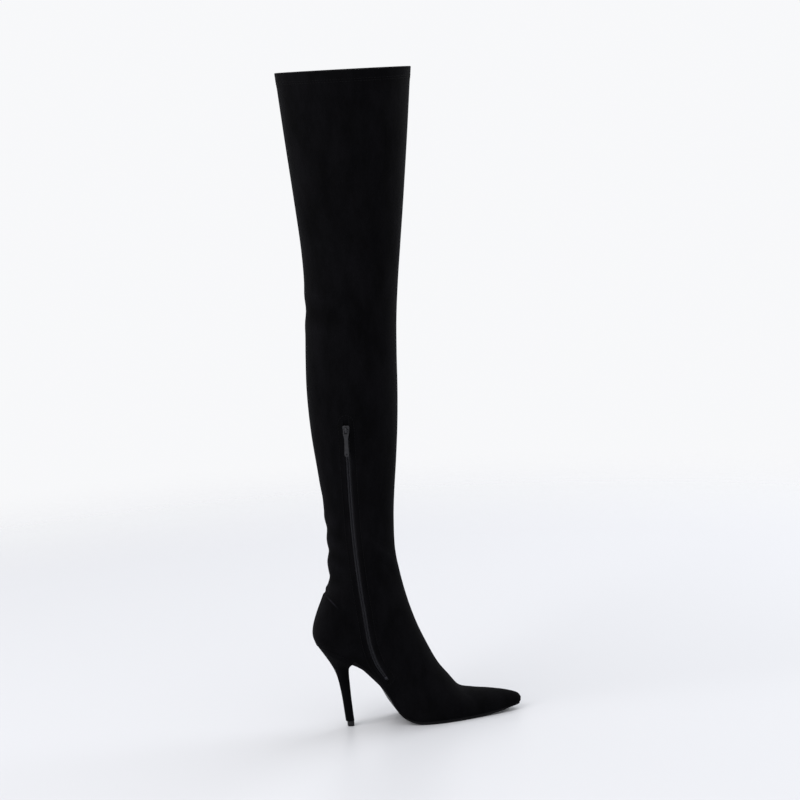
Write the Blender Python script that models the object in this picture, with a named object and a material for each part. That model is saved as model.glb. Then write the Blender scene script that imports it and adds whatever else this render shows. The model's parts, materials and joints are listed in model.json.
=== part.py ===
"""A left thigh-high boot on a tall thin heel, as an assembly of its separate pieces.

Frame: metres, +Z up, +X to the toe, +Y to the outer side of the leg, -Y to the inner side.
The origin is the centre of the heel tip's flat face, on the floor. Tables are in millimetres.
"""

import math
from collections import namedtuple

import bmesh
import bpy
import numpy as np
from mathutils import Vector
from mathutils.bvhtree import BVHTree

MM = 0.001

# The upper's wall, the gaps between pieces and the sole, in millimetres
WALL = 1.6
GAP = 0.3
SOLE_GAP = 0.45
OUTSOLE_THICK = 2.8
INSOLE_THICK = 2.0
INSOLE_INSET = 3.0
INSOLE_END_GAP = 0.5
EDGE_PROUD = 0.6
EDGE_BULGE = 0.5

# The last's bottom from the side: a flat tread, a toe spring, and an arch up to the seat
TOE_X = 196.4
HEEL_X = -34.4
FLAT_REAR_X = 82.5
FLAT_FRONT_X = 110.0
TOE_SPRING = 6.0
SPRING_POWER = 3.0
BREAST_X = 4.4
BREAST_TOP_X = 6.4
BREAST_TOP_Z = 76.7
ARCH_REAR_HANDLE = 52.0
ARCH_FRONT_HANDLE = 46.0
SEAT_SLOPE = 0.72
SEAT_FLATTENS = 0.0053
SEAT_HALF_WIDTH = 23.6
TOE_ROUND = 9.0
SEAT_ROUND = 23.0

# How finely the surfaces are divided
SOLE_STATIONS = 47
TOE_STRETCH = 13.8
SEAT_STRETCH = 12.0
TOE_REACH = 12.0
INSOLE_TOE_REACH = 10.0
INSOLE_SEAT_REACH = 8.0
STATION_GAP = 1.0
COLUMNS_PER_SIDE = 15
TIP_SECTIONS = 4
FULLEST_EDGE = 0.995
SOLVE_STEPS = 40
SLOPE_STEP = 0.05

# The last's bottom, seen from below: half widths at the feather edge, from toe to heel.
OutlineRow = namedtuple("OutlineRow", ("x", "medial", "lateral"))
OUTLINE = (
    (196.4, 12.6, 1.4),
    (187.0, 14.4, 3.8),
    (170.0, 19.2, 11.0),
    (146.0, 25.0, 21.2),
    (118.0, 30.6, 30.2),
    (92.0, 32.8, 34.8),
    (72.0, 29.8, 33.4),
    (50.0, 22.6, 25.8),
    (26.0, 18.0, 21.0),
    (2.0, 19.6, 21.8),
    (-18.0, 23.2, 23.4),
    (-36.0, 23.4, 23.4),
)

# Foot sections, from toe to the back of the seat. Each lies in a plane across the foot, from its
# point on the last's bottom (bottom_x) up to its point on the ridge (front_x, front_z).
# swell is how far the widest level stands outside the feather edge, on each side.
FootRow = namedtuple(
    "FootRow",
    ("front_x", "front_z", "bottom_x", "medial_swell", "lateral_swell", "low_square"),
)
FOOT = (
    (196.9, 12.4, 196.4, 0.4, 0.4, 2.2),
    (192.6, 17.6, 191.0, 0.5, 0.5, 2.2),
    (179.3, 23.2, 179.0, 0.7, 0.7, 2.2),
    (161.3, 26.6, 162.0, 0.9, 0.9, 2.2),
    (142.9, 28.9, 143.5, 1.2, 1.2, 2.2),
    (127.4, 31.9, 122.5, 1.5, 1.4, 2.2),
    (115.0, 46.2, 101.0, 1.8, 1.6, 2.2),
    (102.8, 64.0, 82.5, 2.2, 1.9, 2.2),
    (91.7, 87.1, 64.5, 3.2, 2.4, 2.2),
    (82.2, 109.5, 50.0, 5.2, 2.8, 2.2),
    (75.0, 131.1, 36.5, 7.0, 3.2, 2.25),
    (69.8, 150.7, 22.0, 8.4, 4.0, 2.35),
    (66.4, 166.2, 5.0, 8.2, 5.4, 2.5),
    (64.3, 177.2, -13.0, 6.0, 6.0, 2.7),
    (62.6, 186.3, -26.5, 5.3, 5.3, 2.9),
    (61.7, 194.0, -34.4, 5.4, 5.2, 2.9),
)

# Leg sections, from the back of the seat to the collar.
LegRow = namedtuple(
    "LegRow",
    ("front_x", "front_z", "back_x", "back_z", "medial", "lateral", "low_square"),
)
LEG = (
    (61.7, 194.0, -34.4, 97.3, 28.8, 28.6, 2.9),
    (61.2, 199.5, -36.2, 107.0, 29.0, 28.8, 2.7),
    (61.0, 205.0, -35.5, 118.0, 29.2, 29.0, 2.5),
    (60.9, 211.0, -31.3, 131.5, 29.4, 29.1, 2.35),
    (60.9, 218.5, -25.0, 147.5, 29.5, 29.2, 2.2),
    (61.1, 227.0, -17.4, 165.0, 29.7, 29.4, 2.1),
    (61.5, 237.5, -14.7, 187.0, 30.0, 29.7, 2.1),
    (62.4, 251.0, -14.0, 212.0, 30.8, 30.3, 2.1),
    (64.4, 272.0, -15.8, 247.0, 33.6, 32.8, 2.1),
    (67.6, 302.0, -20.0, 289.0, 38.4, 37.4, 2.1),
    (71.0, 340.0, -25.0, 336.0, 43.0, 42.2, 2.1),
    (73.2, 380.0, -27.0, 380.0, 46.0, 45.8, 2.1),
    (74.4, 420.0, -26.0, 420.0, 46.8, 47.2, 2.1),
    (76.4, 460.0, -23.8, 460.0, 47.2, 47.6, 2.1),
    (80.2, 500.0, -22.6, 500.0, 48.8, 49.0, 2.1),
    (85.0, 540.0, -23.8, 540.0, 51.8, 51.8, 2.1),
    (91.0, 590.0, -28.0, 590.0, 57.0, 57.0, 2.1),
    (98.8, 660.0, -34.6, 660.0, 64.0, 64.0, 2.1),
    (106.0, 730.0, -40.8, 730.0, 70.0, 70.0, 2.1),
)
UPPER_SQUARE = 2.1

# Heel sections, from the tip up to the seat: the back and the breast of each, and its half width.
HeelRow = namedtuple("HeelRow", ("back_x", "back_z", "breast_x", "breast_z", "half_width", "seat_like"))
HEEL = (
    (-4.4, 6.0 + GAP, 3.7, 6.0 + GAP, 4.0, 0.0),
    (-5.4, 17.0, 3.0, 17.0, 4.2, 0.0),
    (-7.8, 35.0, 1.9, 34.0, 4.6, 0.0),
    (-10.6, 52.0, 1.0, 50.0, 5.8, 0.05),
    (-13.5, 63.5, 0.3, 60.0, 7.8, 0.2),
    (-18.3, 74.0, -0.1, 67.0, 11.4, 0.45),
    (-24.2, 83.8, -0.0, 71.2, 17.0, 0.8),
    (-29.7, 92.4, 1.2, 74.2, 21.4, 0.95),
)
HEEL_LEVELS = 15
HEEL_SHARES = (0.0, 0.015, 0.06, 0.13, 0.23, 0.36, 0.52, 0.7, 0.85, 0.95, 1.0)
STEM_BACK_SQUARE = 2.3
STEM_BREAST_SQUARE = 3
STEM_BREAST_CUT = 0.72
LIFT_HEIGHT = 6.0
LIFT_HALF_LENGTH = 3.8
LIFT_HALF_WIDTH = 3.8
LIFT_LEAN = 0.035
LIFT_SQUARE = 0.8
LIFT_SIDES = 20

# The zip's middle line, seen from the inner side, from its lower end up.
ZipRow = namedtuple("ZipRow", ("x", "z"))
ZIP_LINE = (
    (36.7, 59.5),
    (29.5, 72.5),
    (24.5, 87.0),
    (20.9, 103.0),
    (17.6, 131.0),
    (14.0, 165.0),
    (11.2, 200.0),
    (9.2, 240.0),
    (7.4, 290.0),
    (6.2, 350.0),
)
ZIP_STEPS = 44
NORMALS_EACH_WAY = 3
RAY_FROM = 200.0
CUTTER_REACH = 6.0
CHAIN_WIDTH = 5.6
CHAIN_PROUD = 0.3
CHAIN_INSIDE = 1.3
TAPE_SUNK = 0.2
COIL_INSET = 1.0
CHAIN_PAST_SLIDER = 1.2

# The slider at the zip's upper end, and its pull tab
SLIDER_BELOW_TOP = 6.0
SLIDER_LENGTH = 10.0
SLIDER_WIDTH = 7.6
PLATE_THICK = 1.4
PLATE_ROUND = 0.5
JOIN_DEPTH = 0.5
NECK_WIDTH = 2.4
NECK_FROM = 1.6
NECK_TO = 4.2
INNER_INSET = 0.6
INNER_PLATE_FROM = 2.2
INNER_PLATE_TO = 3.4
BRIDGE_LENGTH = 6.4
BRIDGE_INSIDE = 2.0
BRIDGE_BAR = 1.0
BRIDGE_WIDTH = 2.2
TAB_THICK = 1.2
TAB_WIDTH = 6.2
TAB_LENGTH = 30.0
TAB_END_WIDTH = 4.8
TAB_END_STEPS = 8
TAB_WINDOW = 4.6
TAB_SHOULDER = 1.0
TAB_RAIL = 1.5
CROSSBAR = 1.2


def clear_scene():
    for obj in list(bpy.data.objects):
        bpy.data.objects.remove(obj, do_unlink=True)


def make_material(name, colour, roughness, metallic=0.0):
    material = bpy.data.materials.new(name)
    material.use_nodes = True
    shader = material.node_tree.nodes["Principled BSDF"]
    shader.inputs["Base Color"].default_value = (*colour, 1.0)
    shader.inputs["Roughness"].default_value = roughness
    shader.inputs["Metallic"].default_value = metallic
    return material


def make_object(name, points, faces, material):
    """A mesh object from points in millimetres, with doubles merged and normals outwards."""
    mesh = bpy.data.meshes.new(name)
    mesh.from_pydata([Vector(p) * MM for p in points], [], faces)
    work = bmesh.new()
    work.from_mesh(mesh)
    bmesh.ops.remove_doubles(work, verts=work.verts, dist=0.01 * MM)
    bmesh.ops.dissolve_degenerate(work, edges=work.edges, dist=0.001 * MM)
    bmesh.ops.recalc_face_normals(work, faces=work.faces)
    work.to_mesh(mesh)
    work.free()
    mesh.materials.append(material)
    obj = bpy.data.objects.new(name, mesh)
    bpy.context.scene.collection.objects.link(obj)
    mesh.shade_smooth()
    mesh.set_sharp_from_angle(angle=math.radians(40))
    return obj


def spline(rows, t, kind):
    """The row of a table at t, counted in rows, on a smooth curve through its rows."""
    rows = np.asarray(rows, float)
    last = len(rows) - 1
    t = min(max(t, 0.0), float(last))
    i = min(int(t), last - 1)
    u = t - i
    before = rows[max(i - 1, 0)]
    start = rows[i]
    end = rows[i + 1]
    after = rows[min(i + 2, last)]
    leave = (end - before) / (2 if i > 0 else 1)
    arrive = (after - start) / (2 if i + 2 <= last else 1)
    return kind(
        *(
            start * (2 * u**3 - 3 * u**2 + 1)
            + leave * (u**3 - 2 * u**2 + u)
            + end * (3 * u**2 - 2 * u**3)
            + arrive * (u**3 - u**2)
        )
    )


def solve_falling(function, wanted, high):
    """The t from 0 to high at which a falling function has the wanted value."""
    low = 0.0
    for _ in range(SOLVE_STEPS):
        middle = (low + high) / 2
        if function(middle) > wanted:
            low = middle
        else:
            high = middle
    return (low + high) / 2


def outline_at(x):
    """The outline table's row at x, before the ends are rounded."""
    last = len(OUTLINE) - 1
    return spline(OUTLINE, solve_falling(lambda t: spline(OUTLINE, t, OutlineRow).x, x, last), OutlineRow)


def rounded_end(distance, radius):
    """The share of the full width at this distance from a rounded end."""
    if distance >= radius:
        return 1.0
    return math.sqrt(max(0.0, 1 - (1 - max(distance, 0.0) / radius) ** 2))


def bottom_widths(x):
    """(medial, lateral): how far the feather edge lies from the frame's XZ plane at x."""
    row = outline_at(x)
    middle = (row.lateral - row.medial) / 2
    round_share = rounded_end(TOE_X - x, TOE_ROUND) * rounded_end(x - HEEL_X, SEAT_ROUND)
    half = (row.lateral + row.medial) / 2 * round_share
    return half - middle, half + middle


def arch_point(t):
    """The feather line's rise from the flat of the tread (t 0) to the top of the breast (t 1)."""
    flat = OUTSOLE_THICK + SOLE_GAP
    corners = (
        (FLAT_REAR_X, flat),
        (FLAT_REAR_X - ARCH_FRONT_HANDLE, flat),
        (BREAST_TOP_X + ARCH_REAR_HANDLE, BREAST_TOP_Z - ARCH_REAR_HANDLE * SEAT_SLOPE),
        (BREAST_TOP_X, BREAST_TOP_Z),
    )
    weights = ((1 - t) ** 3, 3 * t * (1 - t) ** 2, 3 * t * t * (1 - t), t**3)
    return [sum(w * c[k] for w, c in zip(weights, corners)) for k in range(2)]


def feather_z(x):
    """Height of the last's bottom along its length."""
    flat = OUTSOLE_THICK + SOLE_GAP
    if x >= FLAT_FRONT_X:
        return flat + TOE_SPRING * ((x - FLAT_FRONT_X) / (TOE_X - FLAT_FRONT_X)) ** SPRING_POWER
    if x >= FLAT_REAR_X:
        return flat
    if x <= BREAST_TOP_X:
        back = BREAST_TOP_X - x
        return BREAST_TOP_Z + back * SEAT_SLOPE - back * back * SEAT_FLATTENS
    return arch_point(solve_falling(lambda t: arch_point(t)[0], x, 1.0))[1]


def bottom_normal(x):
    """Unit normal of the last's bottom in the XZ plane, pointing up into the foot."""
    run = 2 * SLOPE_STEP
    rise = feather_z(x + SLOPE_STEP) - feather_z(x - SLOPE_STEP)
    length = math.hypot(run, rise)
    return -rise / length, run / length


def foot_row(t):
    """Front point, bottom point, widest and edge half widths, and squareness of a foot section."""
    row = spline(FOOT, t, FootRow)
    x = min(max(row.bottom_x, HEEL_X), TOE_X)
    outline = outline_at(x)
    toe = rounded_end(TOE_X - x, TOE_ROUND)
    middle = (outline.lateral - outline.medial) / 2
    half = (outline.lateral + outline.medial) / 2 * toe
    widest = (half - middle + row.medial_swell * toe, half + middle + row.lateral_swell * toe)
    return (row.front_x, row.front_z), (x, feather_z(x)), widest, bottom_widths(x), row.low_square


def leg_row(t):
    """The same for a leg section, which closes at the back seam."""
    row = spline(LEG, t, LegRow)
    front, back = (row.front_x, row.front_z), (row.back_x, row.back_z)
    return front, back, (row.medial, row.lateral), (0.0, 0.0), row.low_square


def half_section(widest, edge, middle, low_square):
    """(share of the way from bottom to front, distance from the middle line) along one side."""
    half, edge_half = widest - middle, max(edge - middle, 0.0)
    share = min(edge_half / half, FULLEST_EDGE) if half > 0 else 0.0
    start = -((1 - share**low_square) ** (1 / low_square))
    first = math.acos(min(1.0, (-start) ** (low_square / 2)))
    points = []
    for j in range(COLUMNS_PER_SIDE + 1):
        angle = first + (math.pi - first) * j / COLUMNS_PER_SIDE
        square = low_square if angle < math.pi / 2 else UPPER_SQUARE
        along = -math.copysign(abs(math.cos(angle)) ** (2 / square), math.cos(angle))
        across = abs(math.sin(angle)) ** (2 / square)
        points.append(((along - start) / (1 - start), half * across))
    points[0] = (0.0, edge_half)
    points[-1] = (1.0, 0.0)
    return points


def section_points(row):
    """One section's points, from the medial bottom edge over the front to the lateral one."""
    front, bottom, widest, edges, low_square = row
    middle = (edges[1] - edges[0]) / 2
    sides = []
    for side, sign in ((0, -1.0), (1, 1.0)):
        centre = sign * middle
        sides.append(
            [
                (
                    bottom[0] + share * (front[0] - bottom[0]),
                    middle + sign * across,
                    bottom[1] + share * (front[1] - bottom[1]),
                )
                for share, across in half_section(widest[side], edges[side], centre, low_square)
            ]
        )
    return sides[0] + sides[1][-2::-1]


def stations(first, last, steps):
    """Even places from first up to, but without, last."""
    return [first + (last - first) * i / steps for i in range(steps)]


def eased_stations(first, last, steps):
    """The same, closer together near last, where the seat turns up into the counter."""
    return [last - (last - first) * (1 - i / steps) ** 2 for i in range(steps)]


def upper_sections():
    """All the upper's outer sections, from the toe's tip to the collar."""
    foot = [(i / TIP_SECTIONS) ** 2 for i in range(TIP_SECTIONS)]
    foot += stations(1, 7, 8) + stations(7, 12, 13) + eased_stations(12, len(FOOT) - 1, 9)
    last = len(LEG) - 1
    leg = stations(0, 6, 9) + stations(6, 12, 8) + stations(12, last, 8) + [last]
    return [section_points(foot_row(t)) for t in foot] + [section_points(leg_row(t)) for t in leg]


def grid_faces(rows, columns):
    return [
        (i * columns + j, i * columns + j + 1, (i + 1) * columns + j + 1, (i + 1) * columns + j)
        for i in range(rows - 1)
        for j in range(columns - 1)
    ]


def ring_faces(rings, count):
    """The side faces between closed rings of count points each."""
    faces = []
    for start in range(0, (rings - 1) * count, count):
        for j in range(count):
            after = (j + 1) % count
            faces.append((start + j, start + after, start + count + after, start + count + j))
    return faces


def upper_sheet():
    """(points, faces) of the upper's outer skin, open underneath and at the collar."""
    sections = upper_sections()
    columns = len(sections[0])
    return [p for section in sections for p in section], grid_faces(len(sections), columns)


def ribbon(xs, low, high, inset, bulge):
    """A closed strip that follows the last's bottom between two levels, its edge inset and bulged."""
    across = (-1.0, 0.0, 1.0)
    ring = 2 * len(across) + 2
    points = []
    for x in xs:
        medial, lateral = bottom_widths(x)
        nx, nz = bottom_normal(x)
        middle = (lateral - medial) / 2
        half = (medial + lateral) / 2 - inset
        bulged = bulge if half > bulge else 0.0
        half = max(half, 0.0)
        profile = [(high, share * half) for share in across]
        profile.append(((high + low) / 2, half + bulged))
        profile += [(low, -share * (half - bulged)) for share in across]
        profile.append(((high + low) / 2, -half - bulged))
        z = feather_z(x)
        points += [(x + nx * level, middle + y, z + nz * level) for level, y in profile]
    last = (len(xs) - 1) * ring
    ends = [tuple(range(ring))[::-1], tuple(range(last, last + ring))]
    return points, ring_faces(len(xs), ring) + ends


def sole_stations(first, last):
    """The places along the last where the sole, insole and seat have their sections."""
    shared = np.linspace(TOE_X - TOE_STRETCH, HEEL_X + SEAT_STRETCH, SOLE_STATIONS)
    return [x for x in shared if last < x < first]


def eased_from(end, reach, steps):
    """Places from an end of the foot inwards over a reach, closer together at the end."""
    return [end + reach * (i / steps) ** 2 for i in range(steps + 1)]


def make_upper(material):
    """The stretch upper: one hollow piece, foot and leg, with the zip's slit in its inner side."""
    points, faces = upper_sheet()
    upper = make_object("upper", points, faces, material)
    wall = upper.modifiers.new("wall", "SOLIDIFY")
    wall.thickness = WALL * MM
    wall.offset = -1.0
    wall.use_even_offset = True
    wall.use_quality_normals = True
    return upper


def make_outsole(material):
    """The thin sole, from the toe to the heel's breast."""
    front = eased_from(TOE_X, -TOE_REACH, 6)
    end = BREAST_X + 2 * GAP
    xs = front + sole_stations(front[-1] - STATION_GAP, end + STATION_GAP) + [end]
    points, faces = ribbon(xs, -SOLE_GAP - OUTSOLE_THICK, -SOLE_GAP, -EDGE_PROUD, EDGE_BULGE)
    return make_object("outsole", points, faces, material)


def make_insole(material):
    """The insole board, inside the upper's lower edge."""
    inset = INSOLE_INSET + INSOLE_END_GAP
    front = eased_from(TOE_X - inset, -INSOLE_TOE_REACH, 5)
    back = eased_from(HEEL_X + inset, INSOLE_SEAT_REACH, 5)[::-1]
    xs = front + sole_stations(front[-1] - STATION_GAP, back[0] + STATION_GAP) + back
    points, faces = ribbon(xs, 0.0, INSOLE_THICK, INSOLE_INSET, 0.0)
    return make_object("insole", points, faces, material)


def heel_half_outline(seat_share):
    """(share from back to breast, half width share) along one side of a heel section.

    At seat_share 0 the section is the stem's: a round back and a flatter breast. At 1 it is the
    seat's own outline, cut off straight at the breast.
    """
    outline = []
    for share in HEEL_SHARES:
        across = abs(2 * share - 1)
        if share < 0.5:
            stem = (1 - across**STEM_BACK_SQUARE) ** (1 / STEM_BACK_SQUARE)
        else:
            cut = STEM_BREAST_CUT * across
            stem = (1 - cut**STEM_BREAST_SQUARE) ** (1 / STEM_BREAST_SQUARE)
        seat = sum(bottom_widths(HEEL_X + share * (BREAST_X - HEEL_X))) / 2 / SEAT_HALF_WIDTH
        outline.append((share, stem * (1 - seat_share) + seat * seat_share))
    return outline


def heel_ring(row):
    """One level of the heel, from the back round the inner side to the breast and back again."""
    outline = heel_half_outline(min(max(row.seat_like, 0.0), 1.0))
    sides = []
    for sign in (-1, 1):
        sides.append(
            [
                (
                    row.back_x + share * (row.breast_x - row.back_x),
                    sign * width * row.half_width,
                    row.back_z + share * (row.breast_z - row.back_z),
                )
                for share, width in outline
            ]
        )
    return sides[0] + sides[1][::-1]


def seat_ring():
    """The heel's top level, which lies a gap under the last's bottom."""
    sides = []
    for side, sign in ((0, -1), (1, 1)):
        points = []
        for share in HEEL_SHARES:
            x = HEEL_X + share * (BREAST_X - HEEL_X)
            nx, nz = bottom_normal(x)
            points.append((x - nx * GAP, sign * bottom_widths(x)[side], feather_z(x) - nz * GAP))
        sides.append(points)
    return sides[0] + sides[1][::-1]


def make_heel(material):
    """The tall covered heel, from its round tip up to the curved seat."""
    levels = np.linspace(0, len(HEEL) - 1, HEEL_LEVELS)
    rings = [heel_ring(spline(HEEL, t, HeelRow)) for t in levels] + [seat_ring()]
    count = len(rings[0])
    points = [p for ring in rings for p in ring]
    faces = ring_faces(len(rings), count)
    for base, turn in ((0, 1), ((len(rings) - 1) * count, -1)):
        for j in range(count // 2 - 1):
            rung = (base + j, base + j + 1, base + count - 2 - j, base + count - 1 - j)
            faces.append(rung[::turn])
    return make_object("heel", points, faces, material)


def round_off(value):
    """A sine or cosine, squared off towards the corners."""
    return math.copysign(abs(value) ** LIFT_SQUARE, value)


def make_top_lift(material):
    """The small hard tip under the heel, with both its edges broken."""
    levels = ((0.0, -0.3), (0.4, 0.0), (LIFT_HEIGHT - 0.2, 0.0), (LIFT_HEIGHT, -0.2))
    points = []
    for z, grow in levels:
        for i in range(LIFT_SIDES):
            angle = 2 * math.pi * i / LIFT_SIDES
            x = (LIFT_HALF_LENGTH + grow) * round_off(math.cos(angle))
            y = (LIFT_HALF_WIDTH + grow) * round_off(math.sin(angle))
            points.append((x - LIFT_LEAN * z, y, z))
    top = (len(levels) - 1) * LIFT_SIDES
    faces = [tuple(range(LIFT_SIDES))[::-1], tuple(range(top, top + LIFT_SIDES))]
    return make_object("top_lift", points, faces + ring_faces(len(levels), LIFT_SIDES), material)


def zip_frames(sheet):
    """Frames (point, side, up, out) along the zip, on the upper's inner side, and their distances."""
    points, faces = sheet
    tree = BVHTree.FromPolygons([Vector(p) for p in points], faces)
    places, normals = [], []
    for t in np.linspace(0, len(ZIP_LINE) - 1, ZIP_STEPS):
        row = spline(ZIP_LINE, t, ZipRow)
        outside = Vector((row.x, -RAY_FROM, row.z))
        place, normal, _, _ = tree.ray_cast(outside, Vector((0, 1, 0)))
        places.append(place)
        normals.append(normal if normal.y < 0 else -normal)
    frames, distances = [], [0.0]
    last = len(places) - 1
    for i, place in enumerate(places):
        near = normals[max(i - NORMALS_EACH_WAY, 0) : i + NORMALS_EACH_WAY + 1]
        out = sum(near, Vector()) / len(near)
        up = (places[min(i + 1, last)] - places[max(i - 1, 0)]).normalized()
        out = (out - up * out.dot(up)).normalized()
        frames.append((place, up.cross(out), up, out))
        if i:
            distances.append(distances[-1] + (place - places[i - 1]).length)
    return frames, distances


def frame_at(frames, distances, distance):
    """The frame at this distance along the zip, carried straight on past its ends."""
    i = int(np.searchsorted(distances, distance)) - 1
    i = min(max(i, 0), len(frames) - 2)
    share = (distance - distances[i]) / (distances[i + 1] - distances[i])
    mixed = [a.lerp(b, share) for a, b in zip(frames[i], frames[i + 1])]
    up = mixed[2].normalized()
    out = (mixed[3] - up * mixed[3].dot(up)).normalized()
    return mixed[0], up.cross(out), up, out


def strip(name, frames, section, material):
    """A closed strip: one section of (across, out) points, set at each frame."""
    points = []
    for place, side, _, out in frames:
        points += [place + side * across + out * level for across, level in section]
    ring = len(section)
    last = (len(frames) - 1) * ring
    ends = [tuple(range(ring)), tuple(range(last, last + ring))]
    return make_object(name, points, ring_faces(len(frames), ring) + ends, material)


def hide_helper(obj):
    obj.hide_render = True
    obj.display_type = "WIRE"


def cut_slit(upper, frames, distances):
    """Opens the upper along the zip."""
    half = CHAIN_WIDTH / 2 + GAP
    ends = (-GAP, distances[-1])
    along = [frame_at(frames, distances, d) for d in np.linspace(*ends, ZIP_STEPS)]
    deep = CUTTER_REACH
    section = ((-half, -deep), (half, -deep), (half, deep), (-half, deep))
    cutter = strip("zip_slit_cutter", along, section, upper.data.materials[0])
    hide_helper(cutter)
    slit = upper.modifiers.new("zip_slit", "BOOLEAN")
    slit.operation = "DIFFERENCE"
    slit.object = cutter


def make_zip_chain(frames, distances, top, material):
    """The closed zip: tape and coil, set in the slit."""
    half = CHAIN_WIDTH / 2
    along = [frame_at(frames, distances, d) for d in np.linspace(0, top, ZIP_STEPS)]
    coil = half - COIL_INSET
    section = (
        (-half, -CHAIN_INSIDE),
        (half, -CHAIN_INSIDE),
        (half, -TAPE_SUNK),
        (coil, CHAIN_PROUD),
        (-coil, CHAIN_PROUD),
        (-half, -TAPE_SUNK),
    )
    return strip("zip_chain", along, section, material)


def block(name, frame, across, along, out, material):
    """A box in a frame of the zip, from its low and high limit in each direction."""
    place, side, up, normal = frame
    corners = [
        place + side * across[i] + up * along[j] + normal * out[k]
        for i in (0, 1)
        for j in (0, 1)
        for k in (0, 1)
    ]
    faces = [(0, 1, 3, 2), (4, 6, 7, 5), (0, 4, 5, 1), (2, 3, 7, 6), (0, 2, 6, 4), (1, 5, 7, 3)]
    return make_object(name, corners, faces, material)


def make_slider(frame, material):
    """The zip's slider: two plates, the neck between them and the bridge that holds the tab."""
    low = CHAIN_PROUD + GAP
    top = low + PLATE_THICK
    root = top - JOIN_DEPTH
    bar = top + BRIDGE_INSIDE
    half = SLIDER_WIDTH / 2
    end = SLIDER_LENGTH / 2
    leg = BRIDGE_LENGTH / 2
    wide = (-BRIDGE_WIDTH / 2, BRIDGE_WIDTH / 2)
    slider = block("zip_slider", frame, (-half, half), (-end, end), (low, top), material)
    bevel = slider.modifiers.new("round", "BEVEL")
    bevel.width = PLATE_ROUND * MM
    bevel.segments = 2
    neck_half = NECK_WIDTH / 2
    inner_half = half - INNER_INSET
    inner_end = end - INNER_INSET
    pieces = (
        ("neck", (-neck_half, neck_half), (NECK_FROM, NECK_TO), (-INNER_PLATE_FROM - JOIN_DEPTH, root)),
        ("inner", (-inner_half, inner_half), (-inner_end, inner_end), (-INNER_PLATE_TO, -INNER_PLATE_FROM)),
        ("low_leg", wide, (-leg, BRIDGE_BAR - leg), (root, bar + JOIN_DEPTH)),
        ("high_leg", wide, (leg - BRIDGE_BAR, leg), (root, bar + JOIN_DEPTH)),
        ("bar", wide, (-leg, leg), (bar, bar + BRIDGE_BAR)),
    )
    for name, across, along, out in pieces:
        helper = block(f"slider_{name}", frame, across, along, out, material)
        hide_helper(helper)
        join = slider.modifiers.new(name, "BOOLEAN")
        join.operation = "UNION"
        join.object = helper
    return slider


def hinge_of(frame):
    """(point, axis, up, out) of the pull tab's hinge. A positive turn swings the tab out and up."""
    place, side, _, normal = frame
    point = place + normal * (CHAIN_PROUD + GAP + PLATE_THICK + BRIDGE_INSIDE / 2)
    up = (Vector((0, 0, 1)) - side * side.z).normalized()
    out = side.cross(up)
    if out.dot(normal) < 0:
        side, out = -side, -out
    return point, -side, up, out


def tab_outline():
    """The tab's edge in its own plane, (across, up) from the hinge, then its window's edge."""
    half = TAB_WIDTH / 2
    top = CROSSBAR / 2
    shoulder = -TAB_WINDOW - TAB_SHOULDER
    end = TAB_END_WIDTH / 2
    edge = [(-half, top), (-half, shoulder)]
    for i in range(TAB_END_STEPS + 1):
        angle = math.pi * (1 + i / TAB_END_STEPS)
        edge.append((end * math.cos(angle), top - TAB_LENGTH + end * (1 + math.sin(angle))))
    edge += [(half, shoulder), (half, top)]
    inside = half - TAB_RAIL
    window = [(-inside, -top), (inside, -top)]
    window += [(inside, -TAB_WINDOW), (-inside, -TAB_WINDOW)]
    return edge, window


def make_pull_tab(frame, material):
    """The flat tab, hanging plumb from its crossbar under the slider's bridge."""
    point, axis, up, out = hinge_of(frame)
    side = -axis
    work = bmesh.new()
    for loop in tab_outline():
        corners = [work.verts.new((side * a + up * b - out * TAB_THICK / 2) * MM) for a, b in loop]
        for first, second in zip(corners, corners[1:] + corners[:1]):
            work.edges.new((first, second))
    filled = bmesh.ops.triangle_fill(work, edges=work.edges[:], use_beauty=True, use_dissolve=False)
    flat = [g for g in filled["geom"] if isinstance(g, bmesh.types.BMFace)]
    raised = bmesh.ops.extrude_face_region(work, geom=flat)["geom"]
    moved = [g for g in raised if isinstance(g, bmesh.types.BMVert)]
    bmesh.ops.translate(work, verts=moved, vec=out * TAB_THICK * MM)
    bmesh.ops.recalc_face_normals(work, faces=work.faces)
    mesh = bpy.data.meshes.new("pull_tab")
    work.to_mesh(mesh)
    work.free()
    mesh.materials.append(material)
    tab = bpy.data.objects.new("pull_tab", mesh)
    bpy.context.scene.collection.objects.link(tab)
    tab.location = point * MM
    return tab


def main():
    clear_scene()
    suede = make_material("black_suede", (0.012, 0.011, 0.013), 0.85)
    edge = make_material("sole_edge", (0.01, 0.01, 0.011), 0.25)
    board = make_material("insole_board", (0.05, 0.045, 0.04), 0.8)
    tip = make_material("heel_tip", (0.012, 0.012, 0.013), 0.3)
    metal = make_material("zip_metal", (0.03, 0.03, 0.034), 0.35, 1.0)
    tape = make_material("zip_tape", (0.014, 0.014, 0.017), 0.5)
    upper = make_upper(suede)
    frames, distances = zip_frames(upper_sheet())
    cut_slit(upper, frames, distances)
    at_slider = distances[-1] - SLIDER_BELOW_TOP
    frame = frame_at(frames, distances, at_slider)
    make_zip_chain(frames, distances, at_slider + CHAIN_PAST_SLIDER, tape)
    make_slider(frame, metal)
    make_pull_tab(frame, metal)
    make_outsole(edge)
    make_insole(board)
    make_heel(suede)
    make_top_lift(tip)


main()
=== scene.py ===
"""A left thigh-high boot in black stretch suede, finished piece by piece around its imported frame.

Metres in Blender, millimetres in the tables. +X is the toe, +Y the outer side, +Z up, and the
origin is the centre of the heel tip's flat face, on the floor.
"""

import json
import math
from collections import namedtuple

import bmesh
import bpy
import numpy as np
from mathutils import Matrix, Vector
from mathutils.bvhtree import BVHTree


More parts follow.
